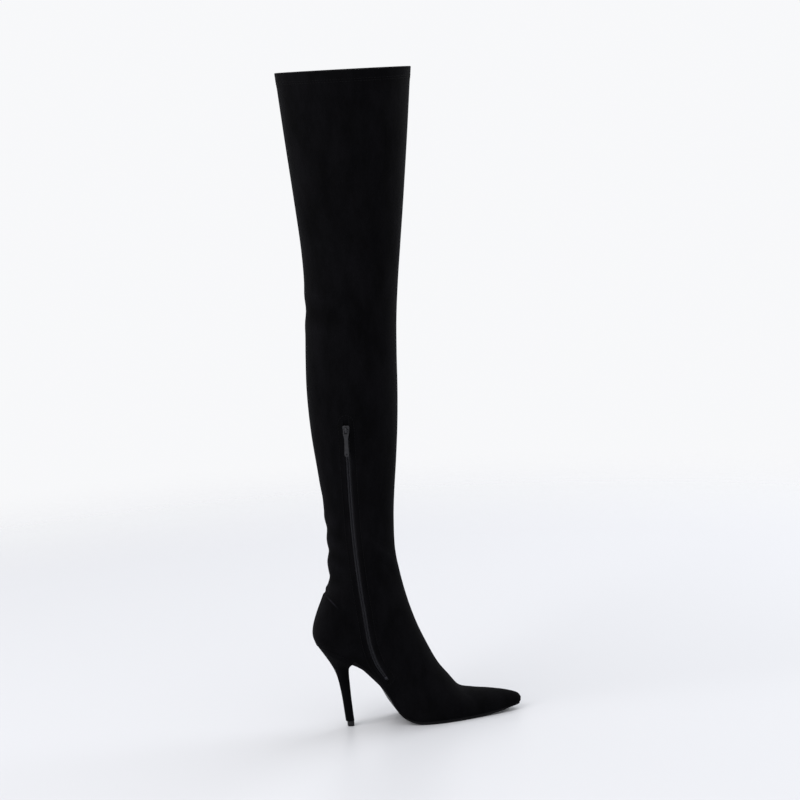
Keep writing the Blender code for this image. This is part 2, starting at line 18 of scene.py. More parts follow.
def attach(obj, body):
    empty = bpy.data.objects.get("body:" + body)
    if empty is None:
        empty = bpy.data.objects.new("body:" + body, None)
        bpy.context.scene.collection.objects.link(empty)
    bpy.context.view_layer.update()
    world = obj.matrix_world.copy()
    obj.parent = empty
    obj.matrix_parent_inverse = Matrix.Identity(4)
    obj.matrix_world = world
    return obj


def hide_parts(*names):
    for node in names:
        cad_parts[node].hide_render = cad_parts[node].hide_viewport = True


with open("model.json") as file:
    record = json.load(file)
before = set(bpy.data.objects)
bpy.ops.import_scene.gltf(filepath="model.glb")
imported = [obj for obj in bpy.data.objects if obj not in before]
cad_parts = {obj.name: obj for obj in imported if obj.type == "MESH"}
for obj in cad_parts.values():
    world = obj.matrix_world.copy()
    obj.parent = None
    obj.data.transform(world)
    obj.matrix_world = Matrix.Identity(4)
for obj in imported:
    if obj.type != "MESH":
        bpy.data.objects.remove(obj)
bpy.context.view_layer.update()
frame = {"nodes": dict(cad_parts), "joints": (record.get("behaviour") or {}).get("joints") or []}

MM = 0.001
BOOT = "boot"
TAB = "pull_tab"
MERGE = 0.0005
SMALLEST_EDGE = 0.0002

# The last, the sole and the leg, in millimetres
WALL = 1.6
OUTSOLE_THICK = 2.8
SOLE_GAP = 0.45
FLAT_Z = OUTSOLE_THICK + SOLE_GAP
# The sole's thickness along the last: skived thin through the waist and again towards the toe
SOLE_THICKNESS = (
    (4, 4), (9, 3), (15, 2.4), (24, 3.1), (30, 2.9), (37, 1.9), (45, 1.1), (54, 1.3), (64, 1.7),
    (76, 2.3), (90, OUTSOLE_THICK), (140, OUTSOLE_THICK), (160, 2.3), (168, 1.9), (173, 1.6),
    (179, 1.25), (186, 1.15), (191, 1.5), (195, 1.9),
)
WAIST_X = 62
SOLE_BOTTOM = range(14, 28)
SOLE_POLISHED = (12, 13, 28, 29)
SOLE_LEVEL = 0.2
SOLE_PROUD = 0.6
SOLE_EDGE_ROUND = 0.9
SOLE_SHORT = 1.5
SOLE_SHORTENS_X = 165
INSOLE_THICK = 2
INSOLE_INSET = 3
INSOLE_DOME = 0.5
TOE_X = 196.4
HEEL_X = -33.7
FLAT_REAR_X = 82.5
FLAT_FRONT_X = 110
TOE_SPRING = 6
SPRING_POWER = 3
BREAST_X = 4.4
BREAST_TOP_X = 6.4
BREAST_TOP_Z = 76.7
ARCH_REAR_HANDLE = 52
ARCH_FRONT_HANDLE = 46
SEAT_SLOPE = 0.72
SEAT_FLATTENS = 0.0053
SEAT_HALF_WIDTH = 23.6
TOE_ROUND = 9
SEAT_ROUND = 23
COLLAR_Z = 730

# The last's bottom from toe to heel: x, and its medial and lateral half widths
OUTLINE = (
    (196.4, 12.6, 1.4), (187, 14.4, 3.8), (170, 19.2, 11), (146, 25, 21.2), (118, 30.6, 30.2),
    (92, 32.8, 34.8), (72, 29.8, 33.4), (50, 22.6, 25.8), (26, 18, 21), (2, 19.6, 21.8),
    (-18, 23.2, 23.4), (-36, 23.4, 23.4),
)

# Foot sections, from the toe to the back of the seat
FootRow = namedtuple("FootRow", "front_x front_z bottom_x medial_swell lateral_swell low_square")
FOOT = (
    (196.9, 13.6, 196.4, 0.4, 0.4, 2.2),
    (192.6, 18.7, 191, 0.5, 0.5, 2.2),
    (179.3, 23.2, 179, 0.7, 0.7, 2.2),
    (161.3, 26.6, 162, 0.9, 0.9, 2.2),
    (142.9, 28.9, 143.5, 1.2, 1.2, 2.2),
    (127.4, 33.1, 122.5, 1.5, 1.4, 2.2),
    (115, 47.8, 101, 1.8, 1.6, 2.2),
    (102.8, 64.5, 82.5, 2.2, 1.9, 2.2),
    (91.7, 87.1, 64.5, 3.2, 2.4, 2.2),
    (82.2, 109.5, 50, 5.2, 2.8, 2.2),
    (75, 131.1, 36.5, 7, 3.2, 2.25),
    (69.8, 150.7, 22, 8.4, 4, 2.35),
    (66.4, 166.2, 5, 8.2, 5.4, 2.5),
    (64.3, 177.2, -13, 6, 6, 2.7),
    (62.6, 186.3, -26.5, 5.3, 5.3, 2.9),
    (61.7, 194, -33.7, 5.4, 5.2, 2.9),
)

# Leg sections, from the back of the seat to the collar
LegRow = namedtuple("LegRow", "front_x front_z back_x back_z medial lateral low_square")
LEG = (
    (61.7, 194, -33.7, 96.9, 28.8, 28.6, 2.9),
    (61.2, 199.5, -36.7, 107, 29, 28.8, 2.7),
    (61, 205, -35.5, 118, 29.2, 29, 2.5),
    (60.9, 211, -31, 131.5, 29.4, 29.1, 2.35),
    (60.9, 218.5, -23.9, 147.5, 29.5, 29.2, 2.2),
    (61.1, 227, -15.7, 165, 29.7, 29.4, 2.1),
    (61.5, 237.5, -14.7, 187, 30, 29.7, 2.1),
    (62.4, 251, -14, 212, 30.8, 30.3, 2.1),
    (64.4, 272, -15.8, 247, 33.6, 32.8, 2.1),
    (67.6, 302, -20, 289, 38.4, 37.4, 2.1),
    (71, 340, -25, 336, 43, 42.2, 2.1),
    (73.2, 380, -27, 380, 46, 45.8, 2.1),
    (74.4, 420, -26, 420, 46.8, 47.2, 2.1),
    (76.4, 460, -23.8, 460, 47.2, 47.6, 2.1),
    (80.2, 500, -22.6, 500, 48.8, 49, 2.1),
    (85, 540, -23.8, 540, 51.8, 51.8, 2.1),
    (91, 590, -28, 590, 57, 57, 2.1),
    (98.8, 660, -34.6, 660, 64, 64, 2.1),
    (106, 730, -40.8, 730, 70, 70, 2.1),
)
UPPER_SQUARE = 2.1
NARROWEST_LINED = 9
LEG_MIDDLE_X = 30
LINING_RIBS = 330

# Heel sections, from the tip up to the seat
HeelRow = namedtuple("HeelRow", "back_x back_z breast_x breast_z half_width seat_like")
HEEL = (
    (-5.6, 6.3, 3.5, 6.3, 4, 0),
    (-6.6, 17, 2.6, 17, 4.2, 0),
    (-8.4, 35, 1.4, 34, 4.6, 0),
    (-11.1, 52, 0.5, 50, 5.8, 0.05),
    (-14.2, 63.5, -0.2, 60, 7.8, 0.2),
    (-19.2, 74, -0.6, 67, 11.4, 0.45),
    (-25.1, 83.8, -0.5, 71.3, 17, 0.8),
    (-30.6, 92.4, 1.2, 74.2, 21.4, 0.95),
)
HEEL_LEVELS = 66
HEEL_SIDE_POINTS = 34
# How square the stem is, and how much of the full round it takes in
STEM_BACK = (2.3, 1)
STEM_BREAST = (3, 0.72)
BREAST_CROWN = 0.35
BREAST_SEAM = 0.32
TURNED_IN = 0.93
BREAST_STEPS = (-0.8, -0.55, -0.3, -0.12, 0, 0.12, 0.3, 0.55, 0.8)
LIFT_HEIGHT = 6
LIFT_HALF_LENGTH = 3.8
LIFT_HALF_WIDTH = 3.8
LIFT_LEAN = 0.035

# The zip's middle line on the inner side, (x, z) from its lower end up
ZIP_LINE = (
    (40.6, 53.2), (36.7, 59.5), (29.5, 72.5), (24.5, 87), (20.9, 103), (17.6, 131), (14, 165),
    (11.2, 200), (9.2, 240), (7.4, 290), (6.2, 350),
)
ZIP_RUNS_ON = 200
ZIP_FRAMES = 290
# The slider's side, as (across, along) from its lower end up
SLIDER_SIDE = (
    (2.1, -5), (2.75, -4.7), (3.15, -3.6), (3.3, -1), (3.75, 1.6), (3.8, 3.6), (3.3, 4.6), (2.3, 5),
)
SLIDER_BELOW_TOP = 6
PLATE_LOW = 0.6
PLATE_THICK = 1.4
BRIDGE_INSIDE = 2
TAB_THICK = 1.1
STOP_HALF_WIDTH = 1.9
STOP_HALF_HEIGHT = 1.2
COIL_STARTS = 4
COIL_DEPTH = 0.42
COIL_SHIFT = 0.65
TAPE_SECTION = ((0.25, -1.3), (2.6, -1.3), (2.6, -1), (1.9, -0.9), (1.2, -0.85), (0.3, -0.9))

# Across the zip: distance from its middle line, and the height of the suede there. The folded
# lips stand proud, the stitch rows draw the suede in, and the floor of the slit lies deep.
ZIP_COLUMNS = (
    (0, -1.5), (1.2, -1.5), (2.2, -1.5), (2.62, -1.45), (2.74, -0.9), (2.84, -0.25), (3, 0.18),
    (3.25, 0.4), (3.6, 0.5), (4.1, 0.48), (4.8, 0.38), (5.7, 0.3), (6.7, 0.24), (7.6, 0.14),
    (8.2, -0.02), (8.6, -0.14), (9, -0.04), (9.7, 0.06), (10.8, 0), (12.5, 0),
)
# Tone painted across the zip's lips: a painted highlight on each lip's edge, and painted shade down the
# stitch groove
LIP_PAINTED_LIGHT = ((2.6, 0), (3.1, 0.55), (3.8, 0.25), (6, -0.15), (8.6, -0.3), (11, 0))
SLIT_DEPTH = 1.1
LIP_RISES = (51, 60)
LIP_FALLS = (350, 362)
STITCH_ROW_ACROSS = 8.6
STITCHED_ABOVE = 9.5
STITCHED_BELOW = 5
THREAD_PROUD = 0.06
ZIP_CLOSES = 0.5
LOW_COLUMNS = 22
ZIP_CENTRE = LOW_COLUMNS + len(ZIP_COLUMNS) - 1
FRONT_COLUMNS = 22
LATERAL_COLUMNS = 54
SECTION_SAMPLES = 241
ROOM_NEEDED = 6

# Soft folds in the suede: a line in the side view, its half width and height (a trough is
# negative), and the side it lies on: -1 inner, +1 outer, 0 both, round the back.
Fold = namedtuple("Fold", "x0 z0 x1 z1 width height side")
FOLDS = (
    (-34, 247, 14, 226, 6, 0.8, 0),
    (-34, 236, 10, 216, 4.5, -0.7, 0),
    (-32, 222, 12, 200, 6, 0.9, 0),
    (-32, 210, 6, 190, 4.5, -0.8, 0),
    (-32, 197, 10, 175, 6, 1, 0),
    (-32, 183, 4, 163, 4, -0.8, 0),
    (-32, 172, 4, 150, 4.5, 0.3, 0),
    (-30, 268, 8, 252, 7, -0.5, 0),
    (22, 246, 66, 196, 4, 0.3, -1),
    (24, 226, 74, 158, 2.4, 0.8, -1),
    (22, 214, 70, 150, 3, -0.4, -1),
    (18, 172, 66, 128, 5, 0.4, -1),
    (-24, 170, 16, 120, 3.4, 1.2, 1),
    (-22, 179, 26, 124, 3, -1.2, 1),
    (-20, 190, 34, 133, 3.4, 1.4, 1),
    (-18, 199, 40, 144, 3, -1.2, 1),
    (-14, 210, 44, 159, 3.4, 1.2, 1),
    (-6, 219, 48, 174, 3.6, -0.9, 1),
    (0, 230, 54, 190, 4, 0.8, 1),
    (30, 180, 70, 142, 4.5, -0.8, 1),
    (34, 168, 72, 132, 5, 0.7, 1),
    (-30, 474, 16, 456, 9, -0.9, 0),
    (-30, 492, 12, 480, 9, 0.6, 0),
    (-30, 456, 6, 440, 8, 0.5, 0),
)

# The top of the stiff counter under the suede, from the back seam forwards and down
LEDGE = ((-27, 160.5), (-11, 142), (12, 123.5))
LEDGE_HEIGHT = 0.75
LEDGE_CREASE = 0.6
LEDGE_FADE_X = 6
# Where the painted highlight lies along the counter's top edge: its width, and the start and end of its
# run along x
LEDGE_HIGHLIGHT_WIDTH = (0.2, 1.5)
LEDGE_HIGHLIGHT_START = (-21.5, -18.5)
LEDGE_HIGHLIGHT_END = (-15.5, -10.5)

HEM_DEPTH = 14
HEM_STITCH = 11.5
HEM_ROWS = (HEM_STITCH, HEM_STITCH - 2.4)
HEM_HEIGHT = 0.35
HEM_GROOVE = 0.3
HEM_ROUND = 0.35
BACK_SEAM_DEPTH = 0.35
EDGE_TUCK = 0.45


# ---------------------------------------------------------------- the last's shape


def spline(rows, t):
    """A table's row at t, counted in rows, on a smooth curve through its rows."""
    rows = np.asarray(rows, float)
    last = len(rows) - 1
    t = min(max(t, 0.0), float(last))
    i = min(int(t), last - 1)
    u = t - i
    before, start, end, after = rows[max(i - 1, 0)], rows[i], rows[i + 1], rows[min(i + 2, last)]
    leave = (end - before) / (2 if i > 0 else 1)
    arrive = (after - start) / (2 if i + 2 <= last else 1)
    return (
        start * (2 * u**3 - 3 * u**2 + 1)
        + leave * (u**3 - 2 * u**2 + u)
        + end * (3 * u**2 - 2 * u**3)
        + arrive * (u**3 - u**2)
    )


def spline_steps(rows, count):
    """A table filled in to this many rows along its smooth curve."""
    return np.array([spline(rows, t) for t in np.linspace(0, len(rows) - 1, count)])


OUTLINE_STEPS = spline_steps(OUTLINE, 900)[::-1]


def smooth_step(value, low, high):
    share = np.clip((value - low) / (high - low), 0, 1)
    return share * share * (3 - 2 * share)


def between(value, rise, fall):
    """1 between two soft ends, and 0 beyond them."""
    return smooth_step(value, *rise) * (1 - smooth_step(value, *fall))


def outline_at(x):
    """(medial, lateral) half widths at x, before the ends are rounded."""
    return [np.interp(x, OUTLINE_STEPS[:, 0], OUTLINE_STEPS[:, k]) for k in (1, 2)]


def rounded_end(distance, radius):
    """The share of the full width at this distance from a rounded end."""
    return math.sqrt(1 - (1 - min(max(distance / radius, 0.0), 1.0)) ** 2)


def bottom_widths(x):
    """(medial, lateral): how far the feather edge lies from the middle plane at x."""
    medial, lateral = outline_at(x)
    middle = (lateral - medial) / 2
    half = (lateral + medial) / 2 * rounded_end(TOE_X - x, TOE_ROUND) * rounded_end(x - HEEL_X, SEAT_ROUND)
    return half - middle, half + middle


def arch_curve():
    """The last's bottom from the tread up to the heel's breast, as (x, z) points."""
    corners = (
        (FLAT_REAR_X, FLAT_Z),
        (FLAT_REAR_X - ARCH_FRONT_HANDLE, FLAT_Z),
        (BREAST_TOP_X + ARCH_REAR_HANDLE, BREAST_TOP_Z - ARCH_REAR_HANDLE * SEAT_SLOPE),
        (BREAST_TOP_X, BREAST_TOP_Z),
    )
    t = np.linspace(0, 1, 600)[:, None]
    weights = np.hstack(((1 - t) ** 3, 3 * t * (1 - t) ** 2, 3 * t * t * (1 - t), t**3))
    return (weights @ np.array(corners))[::-1]


ARCH = arch_curve()


def feather_z(x):
    """Height of the last's bottom along its length."""
    if x >= FLAT_REAR_X:
        share = max(x - FLAT_FRONT_X, 0) / (TOE_X - FLAT_FRONT_X)
        return FLAT_Z + TOE_SPRING * share**SPRING_POWER
    if x <= BREAST_TOP_X:
        back = BREAST_TOP_X - x
        return BREAST_TOP_Z + back * SEAT_SLOPE - back * back * SEAT_FLATTENS
    return float(np.interp(x, ARCH[:, 0], ARCH[:, 1]))


def bottom_normal(x):
    """Unit normal of the last's bottom in the XZ plane, pointing up into the foot."""
    run = 0.6
    rise = feather_z(x + run / 2) - feather_z(x - run / 2)
    length = math.hypot(run, rise)
    return -rise / length, run / length


def foot_section(t):
    """Front point, bottom point, widest and edge half widths, and squareness."""
    row = FootRow(*spline(FOOT, t))
    x = min(max(row.bottom_x, HEEL_X), TOE_X)
    toe = rounded_end(TOE_X - x, TOE_ROUND)
    medial, lateral = outline_at(x)
    middle = (lateral - medial) / 2
    half = (lateral + medial) / 2 * toe
    widest = (half - middle + row.medial_swell * toe, half + middle + row.lateral_swell * toe)
    return (row.front_x, row.front_z), (x, feather_z(x)), widest, bottom_widths(x), row.low_square


def leg_section(t):
    """The same for a leg section, which closes at the back seam."""
    row = LegRow(*spline(LEG, t))
    front, back = (row.front_x, row.front_z), (row.back_x, row.back_z)
    return front, back, (row.medial, row.lateral), (0, 0), row.low_square


def lengths_along(points):
    """How far along a line each of its points lies."""
    steps = np.linalg.norm(np.diff(points, axis=0), axis=1)
    return np.concatenate(((0.0,), np.cumsum(steps)))


def half_curve(section, side):
    """Dense points along one side of a section, from its lower edge to its front, and distances."""
    front, bottom, widest, edges, low_square = section
    middle = (edges[1] - edges[0]) / 2
    sign = (-1, 1)[side]
    half = widest[side] - sign * middle
    edge_half = max(edges[side] - sign * middle, 0.0)
    share = min(edge_half / half, 0.995) if half > 0 else 0.0
    start = -((1 - share**low_square) ** (1 / low_square))
    first = math.acos(min(1.0, (-start) ** (low_square / 2)))
    ease = (1 - np.cos(np.linspace(0, math.pi, SECTION_SAMPLES))) / 2
    angle = first + (math.pi - first) * ease
    square = np.where(angle < math.pi / 2, low_square, UPPER_SQUARE)
    along = -np.sign(np.cos(angle)) * np.abs(np.cos(angle)) ** (2 / square)
    across = half * np.abs(np.sin(angle)) ** (2 / square)
    along = (along - start) / (1 - start)
    along[0], across[0] = 0, edge_half
    along[-1], across[-1] = 1, 0
    x, z = (bottom[k] + along * (front[k] - bottom[k]) for k in (0, 1))
    points = np.stack((x, middle + sign * across, z), axis=1)
    return points, lengths_along(points)


def at_distances(points, distances, wanted):
    """Points on a dense curve at the wanted distances along it."""
    return np.stack([np.interp(wanted, distances, points[:, k]) for k in range(3)], axis=1)


# ---------------------------------------------------------------- the upper's skin


def zip_path():
    """The zip's middle line as dense (x, z) rows, carried straight on past both its ends."""
    steps = spline_steps(ZIP_LINE, 400)
    below = steps[0] - (steps[8] - steps[0]) * ZIP_RUNS_ON
    above = steps[-1] + (steps[-1] - steps[-9]) * ZIP_RUNS_ON
    return np.vstack((below, steps, above))


ZIP_PATH = zip_path()
ZIP_LOW, ZIP_HIGH = ZIP_LINE[0][1], ZIP_LINE[-1][1]
ZIP_ACROSS, ZIP_HEIGHT = np.array(ZIP_COLUMNS, float).T


def zip_x(z):
    return np.interp(z, ZIP_PATH[:, 1], ZIP_PATH[:, 0])


def soft_floor(value, floor, softness):
    """The larger of a value and a floor, rounded where they meet."""
    return floor + softness * math.log1p(math.exp(min((value - floor) / softness, 60)))


def medial_places(points, distances, section):
    """Where the medial columns lie along a section: low ones, the zip's own, then front ones."""
    total = distances[-1]
    offset = points[:, 0] - zip_x(points[:, 2])
    crossing = float(np.interp(0, offset, distances)) if offset[0] < 0 else 0.0
    middle = min(soft_floor(crossing, min(7.5, 0.22 * total), 1.5), max(0.5 * total, total - 12))
    run = np.subtract(section[0], section[1])
    run = run / max(np.linalg.norm(run), 1e-6)
    z = float(np.clip(np.interp(middle, distances, points[:, 2]), ZIP_LOW, ZIP_HIGH))
    slope = float(zip_x(z + 1) - zip_x(z - 1)) / 2
    along = np.array((slope, 1)) / math.hypot(slope, 1)
    oblique = 1 / max(abs(run[0] * along[1] - run[1] * along[0]), 0.6)
    closing = ZIP_CLOSES * (1 - smooth_step(z, ZIP_LOW + 1, ZIP_LOW + 17))
    across = ZIP_ACROSS[1:] * (1 - closing * (1 - smooth_step(ZIP_ACROSS[1:], 3, 8))) * oblique
    low, high = (
        middle + sign * room * (1 - np.exp(-across * min(1 / room, 1 / ROOM_NEEDED)))
        for sign, room in ((-1, middle), (1, total - middle))
    )
    lower = np.linspace(0, low[-1], LOW_COLUMNS + 1)[:-1]
    upper = np.linspace(high[-1], total, FRONT_COLUMNS + 1)[1:]
    return np.concatenate((lower, low[::-1], (middle,), high, upper))


def section_rows():
    """Every section of the upper from the toe's tip to the collar, and which ones are the leg's."""
    foot = (0.004 + 0.996 * np.linspace(0, 1, 15)[:-1] ** 2, np.arange(1, 15, 1 / 6))
    top = len(LEG) - 1
    spans = ((0, 2, 16), (2, 9, 128), (9, 11, 24), (11, top, 56), (top, top, 1))
    leg = [np.linspace(*span, endpoint=False) for span in spans]
    foot = [foot_section(t) for t in np.concatenate(foot)]
    leg = [leg_section(t) for t in np.concatenate(leg)]
    return foot + leg, np.arange(len(foot + leg)) >= len(foot)


def skin_grid():
    """The upper's plain skin as an array of rows of points, and a mark on each leg row."""
    grid = []
    sections, legs = section_rows()
    ease = np.linspace(0, 1, LATERAL_COLUMNS + 1) ** 1.15
    for section in sections:
        points, distances = half_curve(section, 0)
        medial = at_distances(points, distances, medial_places(points, distances, section))
        points, distances = half_curve(section, 1)
        lateral = at_distances(points, distances, distances[-1] * ease)
        grid.append(np.concatenate((medial, lateral[-2::-1])))
    return np.array(grid), legs


def skin_normals(grid, legs):
    """Outward unit normals of the skin, shared where the back seam closes it."""
    along = np.gradient(grid, axis=0)
    across = np.gradient(grid, axis=1)
    closed = legs[:, None] & (np.abs(grid[:, 0] - grid[:, -1]).max(axis=1) < 0.01)[:, None]
    seam = (grid[:, 1] - grid[:, -2]) / 2
    for edge in (0, -1):
        across[:, edge] = np.where(closed, seam, across[:, edge])
    normals = np.cross(across, along)
    return normals / np.maximum(np.linalg.norm(normals, axis=2, keepdims=True), 1e-9)


def fold_height(grid):
    """The soft folds of the suede over the ankle, the instep and the knee."""
    x, y, z = grid[..., 0], grid[..., 1], grid[..., 2]
    total = np.zeros(x.shape)
    for row in FOLDS:
        fold = Fold(*row)
        run = np.array((fold.x1 - fold.x0, fold.z1 - fold.z0))
        length = np.linalg.norm(run)
        run = run / length
        along = (x - fold.x0) * run[0] + (z - fold.z0) * run[1]
        across = (z - fold.z0) * run[0] - (x - fold.x0) * run[1]
        across = across + 1.6 * np.sin(along / 9 + fold.z0)
        if fold.side == 0:
            fade = between(along, (-30, -2), (0.4 * length, length))
        else:
            fade = between(along, (-2, 0.3 * length), (0.55 * length, length))
            fade = fade * smooth_step(y * fold.side, 2, 12)
        total += fold.height * fade * np.exp(-((across / fold.width) ** 2))
    return total


def ledge_height(grid):
    """The stiff counter's top edge, which shows through the suede at the back of the ankle."""
    x, z = grid[..., 0], grid[..., 2]
    below = (np.interp(x, *zip(*LEDGE)) - z) * 0.72
    rise = smooth_step(below, -1.8, 1.8) * (0.25 + 0.75 * np.exp(-np.maximum(below, 0) / 7))
    crease = LEDGE_CREASE * np.exp(-(((below + 3.2) / 2.6) ** 2))
    near = 1 - smooth_step(x, -9, LEDGE_FADE_X)
    return (LEDGE_HEIGHT * rise * smooth_step(below, 60, 25) - crease) * near


def dress(grid, legs):
    """(outer height, fabric height, depth inwards, wear and painted light) of the suede over the plain
    skin.
    """
    z = grid[..., 2]
    near = slice(LOW_COLUMNS, 2 * ZIP_CENTRE - LOW_COLUMNS + 1)
    legs = legs[:, None]
    profile, ends = (np.concatenate((half[:0:-1], half)) for half in (ZIP_HEIGHT, ZIP_ACROSS))
    zip_z = z[:, ZIP_CENTRE][:, None]
    # The slit closes past both ends of the zip
    slit = between(zip_z, (ZIP_LOW - 3.5, ZIP_LOW + 1.5), (ZIP_HIGH - 1, ZIP_HIGH + 4))
    lip = between(zip_z, LIP_RISES, LIP_FALLS)
    folds = fold_height(grid)
    # Fold ridges are painted lighter, partly worn nap and partly painted highlight, and fold troughs are
    # painted darker as painted shade
    wear_and_painted_light = np.clip(folds / 1.3, -1, 1)
    # Painted highlight on the lips' edges and painted shade in the stitch groove beside the zip
    wear_and_painted_light[:, near] += lip * np.interp(ends, *zip(*LIP_PAINTED_LIGHT))
    fabric = folds + ledge_height(grid)
    fabric[:, near] *= 1 - (1 - smooth_step(ends, 3, 12)) * lip * 0.75

    outer = np.zeros(z.shape)
    outer[:, near] += profile * np.where((ends < 3) | (profile <= 0), slit, lip)
    inward = np.zeros(z.shape)
    inward[:, near] = SLIT_DEPTH * (1 - smooth_step(ends, 2.6, 6)) * slit
    edge = np.minimum(np.arange(z.shape[1]), np.arange(z.shape[1])[::-1])
    tuck = np.where(legs, 0, EDGE_TUCK * np.exp(-((edge / 1.2) ** 2)))
    seam = np.where(legs, BACK_SEAM_DEPTH * np.exp(-((edge / 0.8) ** 2)), 0)
    outer -= tuck + seam * smooth_step(z, 110, 130)
    below = COLLAR_Z - z
    hem = HEM_HEIGHT * (1 - smooth_step(below, HEM_DEPTH - 1.2, HEM_DEPTH + 0.8))
    groove = HEM_GROOVE * np.exp(-(((below - HEM_STITCH) / 0.7) ** 2))
    outer += np.where(legs, hem - groove, 0)
    return outer, fabric, inward, wear_and_painted_light


# ---------------------------------------------------------------- mesh tools


def plain_mesh(name, points, faces, finishes=None, marks=None):
    """A mesh from points in millimetres, its doubles merged and its faces turned outwards."""
    mesh = bpy.data.meshes.new(name)
    mesh.from_pydata([tuple(c * MM for c in p) for p in points], [], faces)
    if finishes is not None:
        mesh.polygons.foreach_set("material_index", finishes)
    if marks is not None:
        # Each point's wear and painted light, which the suede's colour reads
        mesh.attributes.new("wear_and_painted_light", "FLOAT", "POINT").data.foreach_set("value", marks)
    work = bmesh.new()
    work.from_mesh(mesh)
    bmesh.ops.remove_doubles(work, verts=work.verts, dist=MERGE * MM)
    bmesh.ops.dissolve_degenerate(work, edges=work.edges, dist=SMALLEST_EDGE * MM)
    bmesh.ops.recalc_face_normals(work, faces=work.faces)
    work.to_mesh(mesh)
    work.free()
    return mesh


def linked(name, data):
    obj = bpy.data.objects.new(name, data)
    bpy.context.scene.collection.objects.link(obj)
    return obj


def piece(name, mesh, finishes, smooth_angle):
    """A finished piece at the origin, smooth but for its sharp edges."""
    obj = linked(name, mesh)
    for finish in finishes:
        mesh.materials.append(finish)
    mesh.shade_smooth()
    mesh.set_sharp_from_angle(angle=math.radians(smooth_angle))
    return obj


def settle(obj, body, node):
    """Seats a piece on its body, in place of a node of the frame."""
    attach(obj, body)
    if node:
        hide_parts(node)


def grid_faces(rows, columns):
    """The faces between the rows of a grid of points."""
    corners = (0, 1, columns + 1, columns)
    starts = (i * columns + j for i in range(rows - 1) for j in range(columns - 1))
    return [tuple(start + c for c in corners) for start in starts]


def ring_faces(rings, count):
    """The side faces between closed rings of count points each."""
    faces = []
    for start in range(0, (rings - 1) * count, count):
        for j in range(count):
            after = (j + 1) % count
            faces.append((start + j, start + after, start + count + after, start + count + j))
    return faces


def capped_rings(*forms):
    """Points and faces of closed forms, each through rings of equal length and flat at both ends."""
    points, faces = [], []
    for rings in forms:
        base, count = len(points), len(rings[0])
        last = (len(rings) - 1) * count
        sides = ring_faces(len(rings), count)
        sides += [tuple(range(count))[::-1], tuple(range(last, last + count))]
        faces += [tuple(base + i for i in face) for face in sides]
        points += [p for ring in rings for p in ring]
    return points, faces


def mirrored(points):
    return [(-a, b) for a, b in reversed(points)]


def rounded_ring(count, half_a, half_b, power):
    """Points round an oval that is squarer the lower its power."""
    turns = 2 * math.pi * np.arange(count) / count
    a, b = (np.sign(c) * np.abs(c) ** power for c in (np.cos(turns), np.sin(turns)))
    return list(zip(half_a * a, half_b * b))


# ---------------------------------------------------------------- materials


class Nodes:
    """A node tree, with short words for the nodes that it needs most."""

    def __init__(self, tree):
        self.tree = tree

    def put(self, kind, inputs=(), **settings):
        """Adds a node. Each input is a value or another node's output."""
        node = self.tree.nodes.new(kind)
        for key, value in settings.items():
            setattr(node, key, value)
        for key, value in inputs.items() if isinstance(inputs, dict) else enumerate(inputs):
            if isinstance(value, bpy.types.NodeSocket):
                self.tree.links.new(value, node.inputs[key])
            elif value is not None:
                node.inputs[key].default_value = value
        return node

    def out(self, kind, inputs=(), **settings):
        """Adds a node and gives its first output."""
        return self.put(kind, inputs, **settings).outputs[0]

    def calc(self, operation, *values):
        return self.out("ShaderNodeMath", values, operation=operation)

    def times(self, a, b):
        return self.calc("MULTIPLY", a, b)

    def own(self):
        """The piece's own coordinates."""
        return self.put("ShaderNodeTexCoord").outputs["Object"]

    def stretched(self, *scale):
        """The piece's own coordinates, scaled along each axis."""
        return self.out("ShaderNodeMapping", {"Vector": self.own(), "Scale": scale})

    def noise(self, vector, scale, detail=2, roughness=0.5):
        inputs = {"Vector": vector, "Scale": scale, "Detail": detail, "Roughness": roughness}
        return self.out("ShaderNodeTexNoise", inputs)

    def cells(self, scale):
        return self.out("ShaderNodeTexVoronoi", {"Vector": self.own(), "Scale": scale})

    def bands(self, direction, scale, distortion=0):
        """Fine even bands of yarn."""
        inputs = {"Vector": self.own(), "Scale": scale, "Distortion": distortion}
        settings = {"wave_type": "BANDS", "bands_direction": direction}
        return self.put("ShaderNodeTexWave", inputs, **settings).outputs[1]

    def ramp(self, value, *stops):
        """Greys at their places along a value."""
        node = self.put("ShaderNodeValToRGB", (value,))
        band = node.color_ramp
        while len(band.elements) < len(stops):
            band.elements.new(0.5)
        for element, (place, grey) in zip(band.elements, stops):
            element.position = place
            element.color = (grey, grey, grey, 1)
        return node.outputs[0]

    def mix(self, factor, a, b, mode="MIX"):
        a, b = (c if isinstance(c, bpy.types.NodeSocket) else (*c, 1) for c in (a, b))
        inputs = {0: factor, 6: a, 7: b}
        return self.put("ShaderNodeMix", inputs, data_type="RGBA", blend_type=mode).outputs[2]

    def fade(self, value, span, start, end):
        """Eases from start to end while a value passes over a span in millimetres."""
        low, high = (c * MM for c in span)
        inputs = {"Value": value, "From Min": low, "From Max": high, "To Min": start, "To Max": end}
        return self.out("ShaderNodeMapRange", inputs, interpolation_type="SMOOTHSTEP")

    def bump(self, height, strength, distance, below=None):
        inputs = {"Height": height, "Strength": strength, "Distance": distance, "Normal": below}
        return self.out("ShaderNodeBump", inputs)


